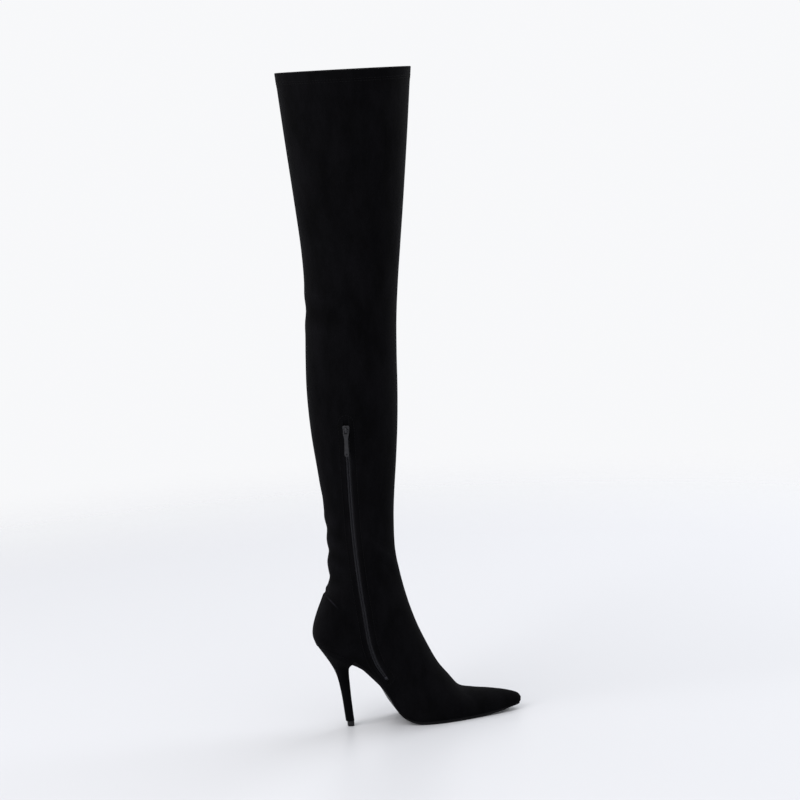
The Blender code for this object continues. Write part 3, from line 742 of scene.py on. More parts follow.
class Finish(Nodes):
    """A material with its Principled shader, whose constant sockets are set here."""

    def __init__(self, name, colour, roughness, specular=0.5, **constants):
        self.material = bpy.data.materials.new(name)
        self.material.use_nodes = True
        super().__init__(self.material.node_tree)
        self.shader = self.tree.nodes["Principled BSDF"]
        constants.update(Base_Color=(*colour, 1), Roughness=roughness, Specular_IOR_Level=specular)
        for key, value in constants.items():
            self.shader.inputs[key.replace("_", " ")].default_value = value

    def made(self, **varying):
        """The material, once what varies over its surface is linked."""
        for key, value in varying.items():
            self.tree.links.new(value, self.shader.inputs[key.replace("_", " ")])
        return self.material

    def toned(self, tone, dark, light, rough=None, raised=None):
        """The material, which goes from dark to light as its tone rises.

        Rough is its roughness's span and start, and raised its bump's height, strength and depth.
        """
        varying = {"Base_Color": self.mix(tone, dark, light)}
        if rough:
            varying["Roughness"] = self.calc("MULTIPLY_ADD", tone, *rough)
        if raised:
            varying["Normal"] = self.bump(*raised)
        return self.made(**varying)


def painted_ledge_highlight(suede):
    """A painted highlight along the counter's top edge: a short light line at the back of each side, where
    its ridge would catch the light.
    """
    place = suede.own()
    x, _, z = suede.put("ShaderNodeSeparateXYZ", (place,)).outputs
    (back_x, back_z), (front_x, front_z) = LEDGE[:2]
    slope = (front_z - back_z) / (front_x - back_x)
    top = suede.calc("MULTIPLY_ADD", x, slope, (back_z - back_x * slope) * MM)
    apart = suede.calc("ABSOLUTE", suede.calc("SUBTRACT", top, z))
    line = suede.fade(apart, LEDGE_HIGHLIGHT_WIDTH, 1, 0)
    start, end = suede.fade(x, LEDGE_HIGHLIGHT_START, 0, 1), suede.fade(x, LEDGE_HIGHLIGHT_END, 1, 0)
    line = suede.times(line, suede.times(start, end))
    return suede.times(line, suede.noise(place, 420, 3, 0.7))


def suede_finish():
    """Black stretch suede: short nap, brushed in patches, that catches light at a low angle."""
    sheen = {"Sheen_Weight": 0.012, "Sheen_Roughness": 0.3, "Sheen_Tint": (0.62, 0.64, 0.78, 1)}
    suede = Finish("black_suede", (0.004, 0.0038, 0.0045), 0.95, specular=0.04, **sheen)
    brushed = suede.stretched(1, 1, 0.42)
    patches = suede.noise(brushed, 52, 5, 0.62)
    strokes = suede.noise(brushed, 240, 3, 0.6)
    grain = suede.noise(suede.own(), 1700, 3, 0.7)
    shade = suede.ramp(patches, (0.34, 0), (0.68, 1))
    nap = suede.mix(shade, (0.0009, 0.0009, 0.0012), (0.0032, 0.0031, 0.0041))
    nap = suede.mix(suede.times(strokes, 0.4), nap, (0.0035, 0.0033, 0.0043))
    nap = suede.mix(1, nap, suede.ramp(grain, (0.45, 0.55), (0.62, 1), (0.8, 1.7)), "MULTIPLY")
    # The colour is made lighter by the painted highlight on the counter's edge and by the painted light
    # and wear on folds and lips, and darker by the painted shade in the troughs
    wear_and_painted_light = suede.put("ShaderNodeAttribute", attribute_name="wear_and_painted_light").outputs["Fac"]
    painted_light_factor = suede.calc("MULTIPLY_ADD", painted_ledge_highlight(suede), 10, suede.calc("POWER", 2, wear_and_painted_light))
    painted_light_factor = suede.out("ShaderNodeCombineColor", (painted_light_factor,) * 3)
    return suede.made(
        Base_Color=suede.mix(1, nap, painted_light_factor, "MULTIPLY"),
        Roughness=suede.calc("MULTIPLY_ADD", patches, -0.12, 1),
        Normal=suede.bump(grain, 0.5, 0.00022, suede.bump(strokes, 0.35, 0.0006)),
    )


def lining_finish():
    """Smooth knitted lining, black, with its fine ribs running up the leg."""
    knit = Finish("knit_lining", (0.006, 0.006, 0.007), 0.8, specular=0.1, Sheen_Weight=0.03)
    x, y, _ = knit.put("ShaderNodeSeparateXYZ", (knit.own(),)).outputs
    turn = knit.calc("ARCTAN2", y, knit.calc("SUBTRACT", x, LEG_MIDDLE_X * MM))
    ribs = knit.calc("SINE", knit.times(turn, LINING_RIBS))
    yarn = knit.noise(knit.own(), 900)
    shade = knit.mix(yarn, (0.004, 0.004, 0.0048), (0.0095, 0.0095, 0.011))
    shade = knit.mix(knit.calc("MULTIPLY_ADD", ribs, 0.2, 0.2), shade, (0.0025, 0.0025, 0.003))
    return knit.made(Base_Color=shade, Normal=knit.bump(ribs, 0.4, 0.0002))


def sole_edge_finish():
    """Polished black sole edge, faintly wiped and scuffed."""
    edge = Finish("polished_edge", (0.003, 0.003, 0.0035), 0.25, specular=0.12, Coat_Weight=0.02)
    place = edge.stretched(1, 1, 3)
    wipe, scuffs = edge.noise(place, 90, 4, 0.6), edge.noise(place, 420, 3)
    dark, light = (0.002, 0.002, 0.0024), (0.005, 0.005, 0.0058)
    return edge.toned(wipe, dark, light, (0.22, 0.16), (scuffs, 0.12, 0.0002))


def waist_edge_finish():
    """The sole's edge through the waist, painted matt black."""
    edge = Finish("matt_waist_edge", (0.003, 0.003, 0.0035), 0.7, specular=0.06)
    brush = edge.noise(edge.stretched(1, 1, 4), 260, 3, 0.6)
    dark, light = (0.0016, 0.0016, 0.002), (0.0042, 0.0042, 0.005)
    return edge.toned(brush, dark, light, raised=(brush, 0.2, 0.0002))


def tread_finish():
    """The sole's underside: matt black with a fine pebble and light wear."""
    sole = Finish("pebbled_tread", (0.004, 0.004, 0.0045), 0.65, specular=0.1)
    worn = sole.ramp(sole.noise(sole.own(), 28, 5, 0.65), (0.4, 0), (0.75, 1))
    dark, light = (0.0022, 0.0022, 0.0026), (0.0062, 0.0062, 0.0068)
    return sole.toned(worn, dark, light, (0.2, 0.45), (sole.cells(900), 0.5, 0.00025))


def sock_finish():
    """The insole's thin black leather cover."""
    sock = Finish("sock_leather", (0.02, 0.019, 0.018), 0.55)
    tone = sock.noise(sock.own(), 50, 3)
    dark, light = (0.014, 0.013, 0.012), (0.03, 0.028, 0.026)
    return sock.toned(tone, dark, light, (0.2, 0.42), (sock.cells(1300), 0.35, 0.0002))


def tip_finish():
    """The heel tip's hard rubber, moulded smooth and scratched a little."""
    tip = Finish("tip_rubber", (0.006, 0.006, 0.007), 0.4, specular=0.15, Coat_Weight=0.02)
    scratch = tip.noise(tip.stretched(1, 1, 6), 500, 4, 0.7)
    dark, light = (0.004, 0.004, 0.005), (0.011, 0.011, 0.013)
    return tip.toned(scratch, dark, light, (0.3, 0.18), (scratch, 0.15, 0.0001))


def coil_finish():
    """The zip's nylon coil: black, satin, with a moulded gleam."""
    tint = (0.85, 0.85, 1, 1)
    coil = Finish("nylon_coil", (0.005, 0.005, 0.0068), 0.4, specular=0.36, Specular_Tint=tint)
    tone = coil.noise(coil.own(), 300)
    return coil.toned(tone, (0.003, 0.003, 0.0042), (0.007, 0.0069, 0.0094), (0.2, 0.34))


def tape_finish():
    """The zip's woven tape, a herringbone of satin yarn."""
    tape = Finish("woven_tape", (0.004, 0.004, 0.005), 0.6, specular=0.2, Sheen_Weight=0.08)
    yarn = tape.times(tape.bands("Z", 900, 0.3), tape.bands("X", 700, 0.3))
    dark, light = (0.0025, 0.0025, 0.0032), (0.01, 0.01, 0.0125)
    return tape.toned(yarn, dark, light, raised=(yarn, 0.5, 0.00015))


def metal_finish():
    """Dark lacquered zip metal, its tone and gloss varying a little over the surface."""
    metal = Finish("dark_metal", (0.012, 0.012, 0.014), 0.3, specular=0.4, Metallic=0.6)
    tone = metal.noise(metal.own(), 420, 4, 0.6)
    dark, light = (0.012, 0.012, 0.014), (0.03, 0.03, 0.034)
    return metal.toned(tone, dark, light, (0.25, 0.2), (tone, 0.08, 0.0001))


def thread_finish():
    """Black sewing thread, twisted."""
    thread = Finish("black_thread", (0.003, 0.003, 0.0036), 0.8, specular=0.08)
    twist = thread.bands("DIAGONAL", 1400)
    dark, light = (0.0022, 0.0022, 0.0027), (0.0052, 0.0051, 0.0062)
    return thread.toned(twist, dark, light, raised=(twist, 0.4, 0.0001))


# ---------------------------------------------------------------- the upper


def make_upper(grid, legs, normals, suede, lining):
    """The upper's shell: suede outside, lining inside, and a turned hem at the collar."""
    outer_height, fabric, inward, wear_and_painted_light = dress(grid, legs)
    outer = grid + normals * (outer_height + fabric)[..., None]
    inner = grid + normals * (fabric - WALL - inward)[..., None]
    outer[legs, -1], inner[legs, -1] = outer[legs, 0], inner[legs, 0]
    rows, columns = grid.shape[:2]
    start = int(np.argmax(np.ptp(grid[:, :, 1], axis=1) > NARROWEST_LINED))
    lip = []
    for share in (0.1, 0.3, 0.5, 0.7, 0.9):
        row = outer[-1] * (1 - share) + inner[-1] * share
        row[:, 2] = COLLAR_Z + HEM_ROUND * math.sin(math.pi * share)
        lip.append(row)
    stack = np.concatenate((outer, lip, inner[start:][::-1]))
    last = len(stack) - 1
    faces = grid_faces(len(stack), columns)
    faces.append(tuple(range(last * columns, last * columns + columns)))
    inside = len(faces)
    # Solid up to the first lined row of the toe, then open underneath along the foot
    faces.append(tuple(range(columns))[::-1])
    solid = [i * columns for i in range(start + 1)] + [last * columns]
    faces += [(a, a + columns - 1, b + columns - 1, b) for a, b in zip(solid, solid[1:])]
    for i in range(start, int(np.argmax(legs))):
        inner_row = last - (i - start)
        for j in (0, columns - 1):
            faces.append(tuple(row * columns + j for row in (i, i + 1, inner_row - 1, inner_row)))
    outside = (rows + len(lip) - 2) * (columns - 1)
    finishes = [0] * outside + [1] * (inside - outside) + [0] * (len(faces) - inside)
    marks = np.zeros(stack.shape[:2])
    # The suede's rows carry its painted light and wear; the hem and the lining carry none
    marks[:rows] = wear_and_painted_light
    mesh = plain_mesh("upper_skin", stack.reshape(-1, 3).tolist(), faces, finishes, marks.ravel())
    return piece("upper_suede", mesh, (suede, lining), 50), outer


# ---------------------------------------------------------------- the sole and the heel


def set_on_bottom(x, middle, ring):
    """A ring of (across, level) points set square on the last's bottom at x."""
    nx, nz = bottom_normal(x)
    z = feather_z(x)
    return [(x + nx * level, middle + y, z + nz * level) for y, level in ring]


def sole_ring(x, low, high, proud):
    """A cross ring of the sole at x, rounded at its edges."""
    short = SOLE_SHORT * float(smooth_step(x, SOLE_SHORTENS_X, TOE_X - SOLE_SHORT))
    medial, lateral = bottom_widths(x + short)
    half = max((medial + lateral) / 2 + proud, 0.05)
    round_by = min(SOLE_EDGE_ROUND, half * 0.6)
    top = [(s * (half - round_by * 0.45), high) for s in np.linspace(-1, 1, 9)]
    side = []
    for turn in np.radians(np.linspace(70, -80, 7)):
        level = (high + low) / 2 + (high - low) / 2 * math.sin(turn)
        side.append((half - round_by + round_by * math.cos(turn) ** 0.6, level))
    bottom = [(-s * (half - round_by), low) for s in np.linspace(-1, 1, 11)]
    return set_on_bottom(x, (lateral - medial) / 2, top + side + bottom + mirrored(side))


def make_outsole(edge, tread, waist):
    """The thin polished sole, from the toe to the heel's breast."""
    tip = TOE_X - SOLE_SHORT
    xs = [*(tip - 10 * np.linspace(0, 1, 14) ** 2), *np.linspace(tip - 12, BREAST_X - 0.3, 120)]
    rings = []
    for x in xs:
        thick = float(np.interp(x, *zip(*SOLE_THICKNESS)))
        proud = SOLE_PROUD * float(smooth_step(x, BREAST_X, 12))
        rings.append(sole_ring(x, -SOLE_GAP - thick, SOLE_LEVEL, proud))
    finishes = [
        1 if j in SOLE_BOTTOM else 0 if j in SOLE_POLISHED and x > WAIST_X else 2
        for x in xs[:-1]
        for j in range(len(rings[0]))
    ]
    mesh = plain_mesh("outsole", *capped_rings(rings), finishes + [2, 2])
    return piece("outsole_edge", mesh, (edge, tread, waist), 40)


def make_insole(sock):
    """The insole board under its leather sock, a little domed along the middle."""
    front, back = TOE_X - INSOLE_INSET, HEEL_X + INSOLE_INSET
    xs = (
        *(front - 0.6 - 9 * np.linspace(0, 1, 10) ** 2),
        *np.linspace(front - 11.5, back + 9, 110),
        *(back + 0.6 + 8 * np.linspace(1, 0, 10) ** 2),
    )
    rings = []
    for x in xs:
        medial, lateral = bottom_widths(x)
        half = max((medial + lateral) / 2 - INSOLE_INSET, 0.05)
        ring = [(s * half, INSOLE_THICK - INSOLE_DOME * abs(s) ** 6) for s in np.linspace(-1, 1, 21)]
        ring += [(s * (half - 0.1), 0.02) for s in np.linspace(1, -1, 9)]
        rings.append(set_on_bottom(x, (lateral - medial) / 2, ring))
    return piece("insole_sock", plain_mesh("insole", *capped_rings(rings)), (sock,), 35)


def heel_side(row, sign, shares):
    """One side of a heel section, back to breast: a rounded stem that turns into the seat."""
    seat_share = min(max(row.seat_like, 0), 1)
    side = []
    for share in shares:
        square, cut = STEM_BACK if share < 0.5 else STEM_BREAST
        stem = (1 - (cut * abs(2 * share - 1)) ** square) ** (1 / square)
        seat = sum(bottom_widths(HEEL_X + share * (BREAST_X - HEEL_X))) / 2 / SEAT_HALF_WIDTH
        width = sign * (stem * (1 - seat_share) + seat * seat_share) * row.half_width
        x = row.back_x + share * (row.breast_x - row.back_x)
        side.append((x, width, row.back_z + share * (row.breast_z - row.back_z)))
    return side


def make_heel(suede):
    """The tall heel, covered in the upper's suede, with its cover's seam down the breast."""
    shares = (1 - np.cos(np.linspace(0, math.pi, HEEL_SIDE_POINTS))) / 2
    rings = []
    for t in np.linspace(0, len(HEEL) - 1, HEEL_LEVELS):
        row = HeelRow(*spline(HEEL, t))
        medial, lateral = (heel_side(row, sign, shares) for sign in (-1, 1))
        width = lateral[-1][1]
        breast = []
        for s in BREAST_STEPS:
            crown = BREAST_CROWN * (1 - s * s) - BREAST_SEAM * math.exp(-((s * width / 0.35) ** 2))
            breast.append((row.breast_x + crown, s * width, row.breast_z))
        rings.append(medial + breast + lateral[::-1])
    # The cover is turned in under the heel's lower end
    end = rings[0]
    turned_in = [(x * TURNED_IN - 0.03, y * TURNED_IN, z - 0.27) for x, y, z in end]
    rings[:1] = [turned_in, [(x, y, z + 0.1) for x, y, z in end]]
    seat = []
    for side, sign in ((0, -1), (1, 1)):
        seat.append([])
        for x in HEEL_X + shares * (BREAST_X - HEEL_X):
            seat[side] += set_on_bottom(x, 0, [(sign * (bottom_widths(x)[side] - 0.1), 0.05)])
    low, high = seat[0][-1][1], seat[1][-1][1]
    breast = [(s * (high - low) / 2, 0.05) for s in BREAST_STEPS]
    rings.append(seat[0] + set_on_bottom(BREAST_X, (low + high) / 2, breast) + seat[1][::-1])
    count, middle = len(rings[0]), len(shares)
    faces = ring_faces(len(rings), count)
    caps = [(j, j + 1, count - 2 - j, count - 1 - j) for j in range(middle - 1)]
    caps.append(tuple(range(middle - 1, count - middle + 1)))
    for base, turn in ((0, 1), ((len(rings) - 1) * count, -1)):
        faces += [tuple(base + i for i in cap)[::turn] for cap in caps]
    mesh = plain_mesh("heel", [p for ring in rings for p in ring], faces)
    return piece("heel_cover", mesh, (suede,), 42)


def make_top_lift(tip):
    """The hard tip under the heel, with its rounded edges and its moulded waist line."""
    top = LIFT_HEIGHT
    profile = (
        (0, -0.55), (0.12, -0.2), (0.4, 0), (1.5, 0.04), (top - 1.1, 0.04), (top - 0.95, -0.1),
        (top - 0.75, -0.1), (top - 0.6, 0.04), (top - 0.15, 0), (top, -0.2),
    )
    rings = []
    for z, grow in profile:
        ring = rounded_ring(64, LIFT_HALF_LENGTH + grow, LIFT_HALF_WIDTH + grow, 0.8)
        rings.append([(x - LIFT_LEAN * z, y, z) for x, y in ring])
    return piece("top_lift_tip", plain_mesh("top_lift", *capped_rings(rings)), (tip,), 50)


# ---------------------------------------------------------------- the zip and the stitching

# Sizes in metres that go into the geometry trees
COIL_SIZES = {"Pitch": 0.0013, "Reach": 0.0021, "Wire": 0.00036, "Side": 1}
STITCH_SIZES = {"Pitch": 0.0032, "Stitch": 0.0024, "Thread": 0.00028}


def zip_frames(grid, normals):
    """Point, side, up and out at even steps along the zip's middle line on the plain skin."""
    line, out = grid[:, ZIP_CENTRE], normals[:, ZIP_CENTRE]
    keep = (line[:, 2] > ZIP_LOW - 1) & (line[:, 2] < ZIP_HIGH + 14)
    line, out = line[keep], out[keep]
    distances = lengths_along(line)
    wanted = np.linspace(*np.interp((ZIP_LOW, ZIP_HIGH), line[:, 2], distances), ZIP_FRAMES)
    points, outs = (at_distances(part, distances, wanted) for part in (line, out))
    ups = np.gradient(points, axis=0)
    ups /= np.linalg.norm(ups, axis=1, keepdims=True)
    outs -= ups * (outs * ups).sum(axis=1, keepdims=True)
    outs /= np.linalg.norm(outs, axis=1, keepdims=True)
    return points, np.cross(ups, outs), ups, outs


def make_tapes(frames, tape, last):
    """The two halves of the zip's tape, each folded up against the coil."""
    halves = [
        [
            [tuple(place + side * (sign * a) + out * b) for a, b in TAPE_SECTION]
            for place, side, _, out in zip(*(part[:last] for part in frames))
        ]
        for sign in (-1, 1)
    ]
    return piece("zip_tape", plain_mesh("zip_tape", *capped_rings(*halves)), (tape,), 40)


def row_tree(name, sizes, make_shape, faces_out=False):
    """A geometry tree that sets a small shape at even steps along the guide that goes in."""
    group = bpy.data.node_groups.new(name, "GeometryNodeTree")
    group.interface.new_socket("Guide", in_out="INPUT", socket_type="NodeSocketGeometry")
    for label, value in sizes.items():
        socket = group.interface.new_socket(label, in_out="INPUT", socket_type="NodeSocketFloat")
        socket.default_value = value
    group.interface.new_socket("Finish", in_out="INPUT", socket_type="NodeSocketMaterial")
    group.interface.new_socket("Made", in_out="OUTPUT", socket_type="NodeSocketGeometry")
    tree = Nodes(group)
    given = tree.put("NodeGroupInput").outputs
    line = tree.out("GeometryNodeMeshToCurve", (given["Guide"],))
    steps = {"Curve": line, "Length": given["Pitch"]}
    points = tree.out("GeometryNodeResampleCurve", steps, mode="LENGTH")
    ahead = {"Vector": tree.out("GeometryNodeInputTangent")}
    turn = tree.out("FunctionNodeAlignRotationToVector", ahead, axis="X")
    if faces_out:
        name = {"Name": "outward"}
        out = tree.out("GeometryNodeInputNamedAttribute", name, data_type="FLOAT_VECTOR")
        roll = {"Rotation": turn, "Vector": out}
        turn = tree.out("FunctionNodeAlignRotationToVector", roll, axis="Z", pivot_axis="X")
    laid = {"Points": points, "Instance": make_shape(tree, given), "Rotation": turn}
    real = tree.out("GeometryNodeRealizeInstances", (tree.out("GeometryNodeInstanceOnPoints", laid),))
    made = {"Geometry": real, "Material": given["Finish"]}
    tree.put("NodeGroupOutput", (tree.out("GeometryNodeSetMaterial", made),))
    return group


def tube(tree, line, radius, sides, scale=None):
    """A round wire along a line."""
    ring = tree.out("GeometryNodeCurvePrimitiveCircle", {"Resolution": sides, "Radius": radius})
    parts = {"Curve": line, "Profile Curve": ring, "Scale": scale, "Fill Caps": True}
    return tree.out("GeometryNodeCurveToMesh", parts)


def stitch(tree, given):
    """One stitch, a short plump length of thread."""
    half = tree.times(given["Stitch"], 0.5)
    back = tree.out("ShaderNodeCombineXYZ", (tree.times(half, -1),))
    ahead = tree.out("ShaderNodeCombineXYZ", (half,))
    core = tree.out("GeometryNodeCurvePrimitiveLine", {"Start": back, "End": ahead})
    core = tree.out("GeometryNodeResampleCurve", {"Curve": core, "Count": 6})
    place = tree.put("GeometryNodeSplineParameter").outputs["Factor"]
    swell = tree.times(tree.times(place, tree.calc("SUBTRACT", 1, place)), 4)
    swell = tree.calc("MAXIMUM", tree.calc("POWER", swell, 0.4), 0.35)
    core = tree.out("GeometryNodeSetCurveRadius", {"Curve": core, "Radius": swell})
    return tube(tree, core, given["Thread"], 6, swell)


def coil_loop(tree, given):
    """One loop of the zip's coil, which arches from the tape over to the middle."""
    reach = tree.times(given["Reach"], given["Side"])
    arch = {"Resolution": 6}
    for key, across, height in (("Start", 0.1, -2), ("Middle", 0.62, 2.7), ("End", 1, -2.2)):
        place = (0, tree.times(reach, across), tree.times(given["Wire"], height))
        arch[key] = tree.out("ShaderNodeCombineXYZ", place)
    return tube(tree, tree.out("GeometryNodeCurveQuadraticBezier", arch), given["Wire"], 7)


def guide_mesh(lines, outward=None):
    """Open lines of points in millimetres as one mesh of edges, with their outward directions."""
    mesh = bpy.data.meshes.new("guide")
    points, edges = [], []
    for line in lines:
        edges += [(len(points) + i, len(points) + i + 1) for i in range(len(line) - 1)]
        points += [tuple(c * MM for c in p) for p in line]
    mesh.from_pydata(points, edges, [])
    if outward is not None:
        layer = mesh.attributes.new("outward", "FLOAT_VECTOR", "POINT")
        layer.data.foreach_set("vector", np.array(outward, np.float32).ravel())
    return mesh


def grow(name, guide, tree, values):
    """The plain piece that a tree makes on a guide."""
    holder = linked(name + "_guide", guide)
    modifier = holder.modifiers.new("grow", "NODES")
    modifier.node_group = tree
    for item in tree.interface.items_tree:
        if item.in_out == "INPUT" and item.name in values:
            modifier[item.identifier] = values[item.name]
    graph = bpy.context.evaluated_depsgraph_get()
    mesh = bpy.data.meshes.new_from_object(holder.evaluated_get(graph), depsgraph=graph)
    mesh.name = name
    bpy.data.objects.remove(holder)
    mesh.shade_smooth()
    return linked(name, mesh)


def stitch_loop(frames):
    """A closed line round the zip: up one side, over its top, down the other and under its end."""
    points, sides, ups, _ = frames
    turn = np.linspace(0, math.pi, 24)[1:-1]
    turn = list(zip(np.cos(turn) * STITCH_ROW_ACROSS, np.sin(turn)))
    loop = list(points + sides * STITCH_ROW_ACROSS)
    loop += [points[-1] + sides[-1] * a + ups[-1] * b * STITCHED_ABOVE for a, b in turn]
    loop += list((points - sides * STITCH_ROW_ACROSS)[::-1])
    loop += [points[0] - sides[0] * a - ups[0] * b * STITCHED_BELOW for a, b in turn]
    return loop


def make_stitching(frames, grid, outer, thread):
    """The row of stitches round the zip and the two rows along the hem, laid on the suede."""
    places = [Vector(p) for p in outer.reshape(-1, 3).tolist()]
    skin = BVHTree.FromPolygons(places, grid_faces(*outer.shape[:2]))
    lines = [stitch_loop(frames)]
    top, under = grid[-1], grid[-9]
    for below in HEM_ROWS:
        ring = top + (under - top) * below / (COLLAR_Z - under[0, 2])
        lines.append(np.concatenate((ring, ring[:1])))
    rows = []
    for line in lines:
        nearest = [skin.find_nearest(Vector(point)) for point in line]
        rows.append([tuple(place + normal * THREAD_PROUD) for place, normal, _, _ in nearest])
    tree = row_tree("stitch_row", STITCH_SIZES, stitch)
    return grow("stitching", guide_mesh(rows), tree, {"Finish": thread})


def on_zip(frames, at):
    """What turns (across, along, out) at one frame of the zip into a place on the boot."""
    place, side, up, out = (Vector(part[at]) for part in frames)
    return lambda a, b, c: tuple(place + side * a + up * b + out * c)


def make_slider(frames, metal, at):
    """The slider's rounded plate and the bridge over it."""
    world = on_zip(frames, at)
    low, top = PLATE_LOW, PLATE_LOW + PLATE_THICK
    outline = [*SLIDER_SIDE, *mirrored(SLIDER_SIDE)]
    levels = (
        (low, 0.25), (low + 0.12, 0.06), (low + 0.35, 0), (top - 0.5, 0), (top - 0.2, 0.1),
        (top - 0.05, 0.3), (top, 0.6),
    )
    plate = [
        [world(a * (1 - shrink / 3.8), b * (1 - shrink / 5), level) for a, b in outline]
        for level, shrink in levels
    ]
    turn = np.linspace(0, math.pi, 21)
    along = 2.75 * np.sign(np.cos(turn)) * np.abs(np.cos(turn)) ** 0.55
    arch = np.stack((along, top - 0.4 + (BRIDGE_INSIDE + 0.9) * np.abs(np.sin(turn)) ** 0.6), axis=1)
    ahead = np.gradient(arch, axis=0)
    ahead /= np.linalg.norm(ahead, axis=1, keepdims=True)
    bridge = [
        [world(a, b - dh * thick, h + db * thick) for a, thick in rounded_ring(16, 1.15, 0.5, 0.7)]
        for (b, h), (db, dh) in zip(arch, ahead)
    ]
    mesh = plain_mesh("zip_slider", *capped_rings(plate, bridge))
    return piece("zip_slider_body", mesh, (metal,), 38)


def make_bottom_stop(frames, coil):
    """The small clamp that holds the coil's two sides together at the zip's lower end."""
    world = on_zip(frames, COIL_STARTS - 1)
    rings = []
    for level, shrink in ((-1.2, 0.3), (-0.9, 0), (-0.1, 0), (0.15, 0.12), (0.3, 0.4)):
        ring = rounded_ring(24, STOP_HALF_WIDTH - shrink, STOP_HALF_HEIGHT - shrink, 0.5)
        rings.append([world(a, b, level) for a, b in ring])
    return piece("zip_bottom_stop", plain_mesh("zip_bottom_stop", *capped_rings(rings)), (coil,), 38)


def make_pull_tab(metal):
    """The slider's flat tab: a windowed head, a tapering blade and a drilled, rounded end."""
    joint = frame["joints"][0]
    point = Vector(joint["pos_m"]) / MM
    side = Vector(joint["axis"]).normalized()
    up = (Vector((0, 0, 1)) - side * side.z).normalized()
    out = side.cross(up)
    if out.y > 0:
        out = -out
    rim = [(3.1, -4.2), (2.95, -5.6), (2.4, -7.4), (2.05, -10), (2, -14), (2.15, -20), (2.4, -25.2)]
    end = [(2.4 * math.cos(a), -27 - 2.4 * math.sin(a)) for a in np.linspace(0.1, math.pi - 0.1, 13)]
    edge = [(-3.1, 0.1), (-2.6, 0.6), (2.6, 0.6), (3.1, 0.1), *rim, *end, *mirrored(rim)]
    window = [(-1.6, -0.7), (1.6, -0.7), (1.6, -3.9), (1.3, -4.5), (-1.3, -4.5), (-1.6, -3.9)]
    hole = [(0.95 * math.cos(a), 0.95 * math.sin(a) - 26.8) for a in np.linspace(0, 2 * math.pi, 20)[:-1]]
    work = bmesh.new()
    for loop in (edge, window, hole):
        corners = [work.verts.new(side * a + up * b - out * TAB_THICK / 2) for a, b in loop]
        for first, second in zip(corners, corners[1:] + corners[:1]):
            work.edges.new((first, second))
    filled = bmesh.ops.triangle_fill(work, edges=work.edges[:], use_beauty=True, use_dissolve=False)
    flat = [g for g in filled["geom"] if isinstance(g, bmesh.types.BMFace)]
    raised = bmesh.ops.extrude_face_region(work, geom=flat)["geom"]
    moved = [g for g in raised if isinstance(g, bmesh.types.BMVert)]
    bmesh.ops.translate(work, verts=moved, vec=out * TAB_THICK)
    bmesh.ops.recalc_face_normals(work, faces=work.faces)
    rims = [e for e in work.edges if len(e.link_faces) == 2 and e.calc_face_angle() > 0.9]
    bmesh.ops.bevel(work, geom=rims, offset=0.22, segments=3, profile=0.6, affect="EDGES")
    for vert in work.verts:
        vert.co = (vert.co + point) * MM
    mesh = bpy.data.meshes.new("pull_tab_blade")
    work.to_mesh(mesh)
    work.free()
    return piece("pull_tab_blade", mesh, (metal,), 35)


# ---------------------------------------------------------------- the studio

CAMERA_TURN = math.radians(12.2)
CAMERA_BACK = 2.5
CAMERA_ASIDE = 0.055
CAMERA_HEIGHT = 0.726
TOE_UP = math.radians(3.13)
LENS = 103
PITCH = math.radians(-8.1)
FLOOR_COLOUR = (0.56, 0.565, 0.59)
FLOOR_FADES = (900, 1700)
FLOOR_PLACE = (0.08, 0, 0)
SURROUNDINGS = (0.935, 0.94, 0.955, 1)
# Name, place, aim, size, power and colour
LIGHTS = (
    ("left_softbox", (-1.9, -0.9, 2), (0, 0, 0.3), (2, 2.4), 55, (1, 0.99, 0.97)),
    ("right_softbox", (2, 0.9, 2), (0, 0, 0.3), (2, 2.4), 45, (0.96, 0.98, 1)),
)


def make_camera():
    """A camera on the inner side, a little behind the heel, that takes in the whole boot."""
    data = bpy.data.cameras.new("camera")
    data.lens, data.sensor_width = LENS, 36
    data.clip_start, data.clip_end = 0.1, 50
    camera = linked("camera", data)
    level = Vector((math.sin(CAMERA_TURN), math.cos(CAMERA_TURN), 0))
    across = Vector((math.cos(CAMERA_TURN), -math.sin(CAMERA_TURN), 0))
    look = level * math.cos(PITCH) + Vector((0, 0, math.sin(PITCH)))
    turn = Matrix((across, across.cross(look), -look)).transposed()
    place = -level * CAMERA_BACK + Vector((0, 0, CAMERA_HEIGHT)) + across * CAMERA_ASIDE
    lean = Matrix.Rotation(TOE_UP, 3, "Y")
    camera.matrix_world = Matrix.Translation(lean @ place) @ (lean @ turn).to_4x4()
    bpy.context.scene.camera = camera


def floor_finish():
    """Smooth pale paper that fades out into the bright surroundings well away from the boot."""
    paper = Finish("pale_paper", FLOOR_COLOUR, 0.42, specular=0.3)
    place = paper.own()
    away = paper.put("ShaderNodeVectorMath", (place,), operation="LENGTH").outputs["Value"]
    fading = paper.fade(away, FLOOR_FADES, 1, 0)
    shadier = [c * 0.985 for c in FLOOR_COLOUR]
    shade = paper.mix(paper.noise(place, 1.5), shadier, FLOOR_COLOUR)
    return paper.made(Base_Color=shade, Alpha=fading)


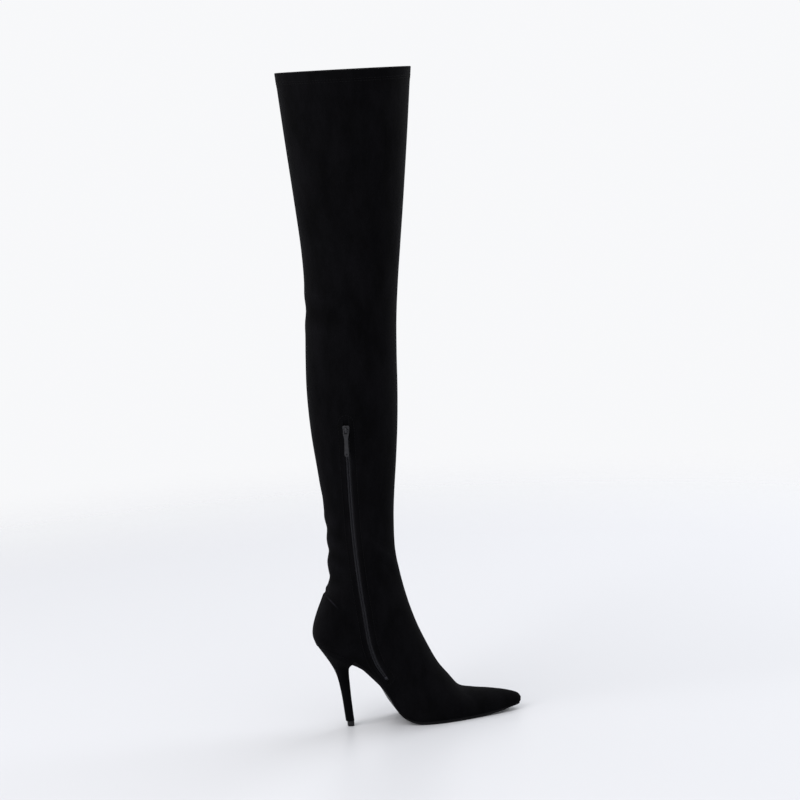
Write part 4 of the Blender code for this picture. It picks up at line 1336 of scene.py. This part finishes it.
def make_studio():
    """A round pale floor in bright, even surroundings, with large soft lights."""
    mesh = bpy.data.meshes.new("studio_floor")
    rim = rounded_ring(96, FLOOR_FADES[1], FLOOR_FADES[1], 1)
    mesh.from_pydata([(x * MM, y * MM, 0) for x, y in rim], [], [range(96)])
    mesh.materials.append(floor_finish())
    floor = linked("studio_floor", mesh)
    floor.location = FLOOR_PLACE
    for name, place, aim, size, power, colour in LIGHTS:
        data = bpy.data.lights.new(name, "AREA")
        data.shape = "RECTANGLE"
        data.size, data.size_y = size
        data.energy, data.color = power, colour
        light = linked(name, data)
        light.location = place
        light.rotation_euler = (Vector(aim) - Vector(place)).to_track_quat("-Z", "Y").to_euler()
    world = bpy.data.worlds.new("studio")
    world.use_nodes = True
    back = world.node_tree.nodes["Background"]
    back.inputs["Color"].default_value = SURROUNDINGS
    back.inputs["Strength"].default_value = 1
    bpy.context.scene.world = world
    bpy.context.scene.view_settings.view_transform = "Standard"


# ---------------------------------------------------------------- making the boot


def main():
    make_camera()
    suede, metal, coil = suede_finish(), metal_finish(), coil_finish()
    grid, legs = skin_grid()
    normals = skin_normals(grid, legs)
    upper, outer = make_upper(grid, legs, normals, suede, lining_finish())
    outsole = make_outsole(sole_edge_finish(), tread_finish(), waist_edge_finish())
    settle(upper, BOOT, "upper")
    settle(outsole, BOOT, "outsole")
    settle(make_insole(sock_finish()), BOOT, "insole")
    settle(make_heel(suede), BOOT, "heel")
    settle(make_top_lift(tip_finish()), BOOT, "top_lift")

    frames = zip_frames(grid, normals)
    points, _, ups, outs = frames
    share = 1 - SLIDER_BELOW_TOP / lengths_along(points)[-1]
    at_slider = int(round(share * (len(points) - 1)))
    closed = at_slider + 2
    settle(make_tapes(frames, tape_finish(), closed), BOOT, "zip_chain")
    tree = row_tree("coil_side", COIL_SIZES, coil_loop, faces_out=True)
    part = slice(COIL_STARTS, closed)
    for name, sign, shift in (("zip_coil_left", -1.0, 0), ("zip_coil_right", 1.0, COIL_SHIFT)):
        line = points[part] - outs[part] * COIL_DEPTH + ups[part] * shift
        made = grow(name, guide_mesh([line], outs[part]), tree, {"Side": sign, "Finish": coil})
        settle(made, BOOT, None)
    settle(make_slider(frames, metal, at_slider), BOOT, "zip_slider")
    settle(make_bottom_stop(frames, coil), BOOT, None)
    settle(make_pull_tab(metal), TAB, "pull_tab")
    settle(make_stitching(frames, grid, outer, thread_finish()), BOOT, None)

    make_studio()
    for node in frame["nodes"].values():
        node.data.materials.clear()
        node.data.materials.append(suede)


main()
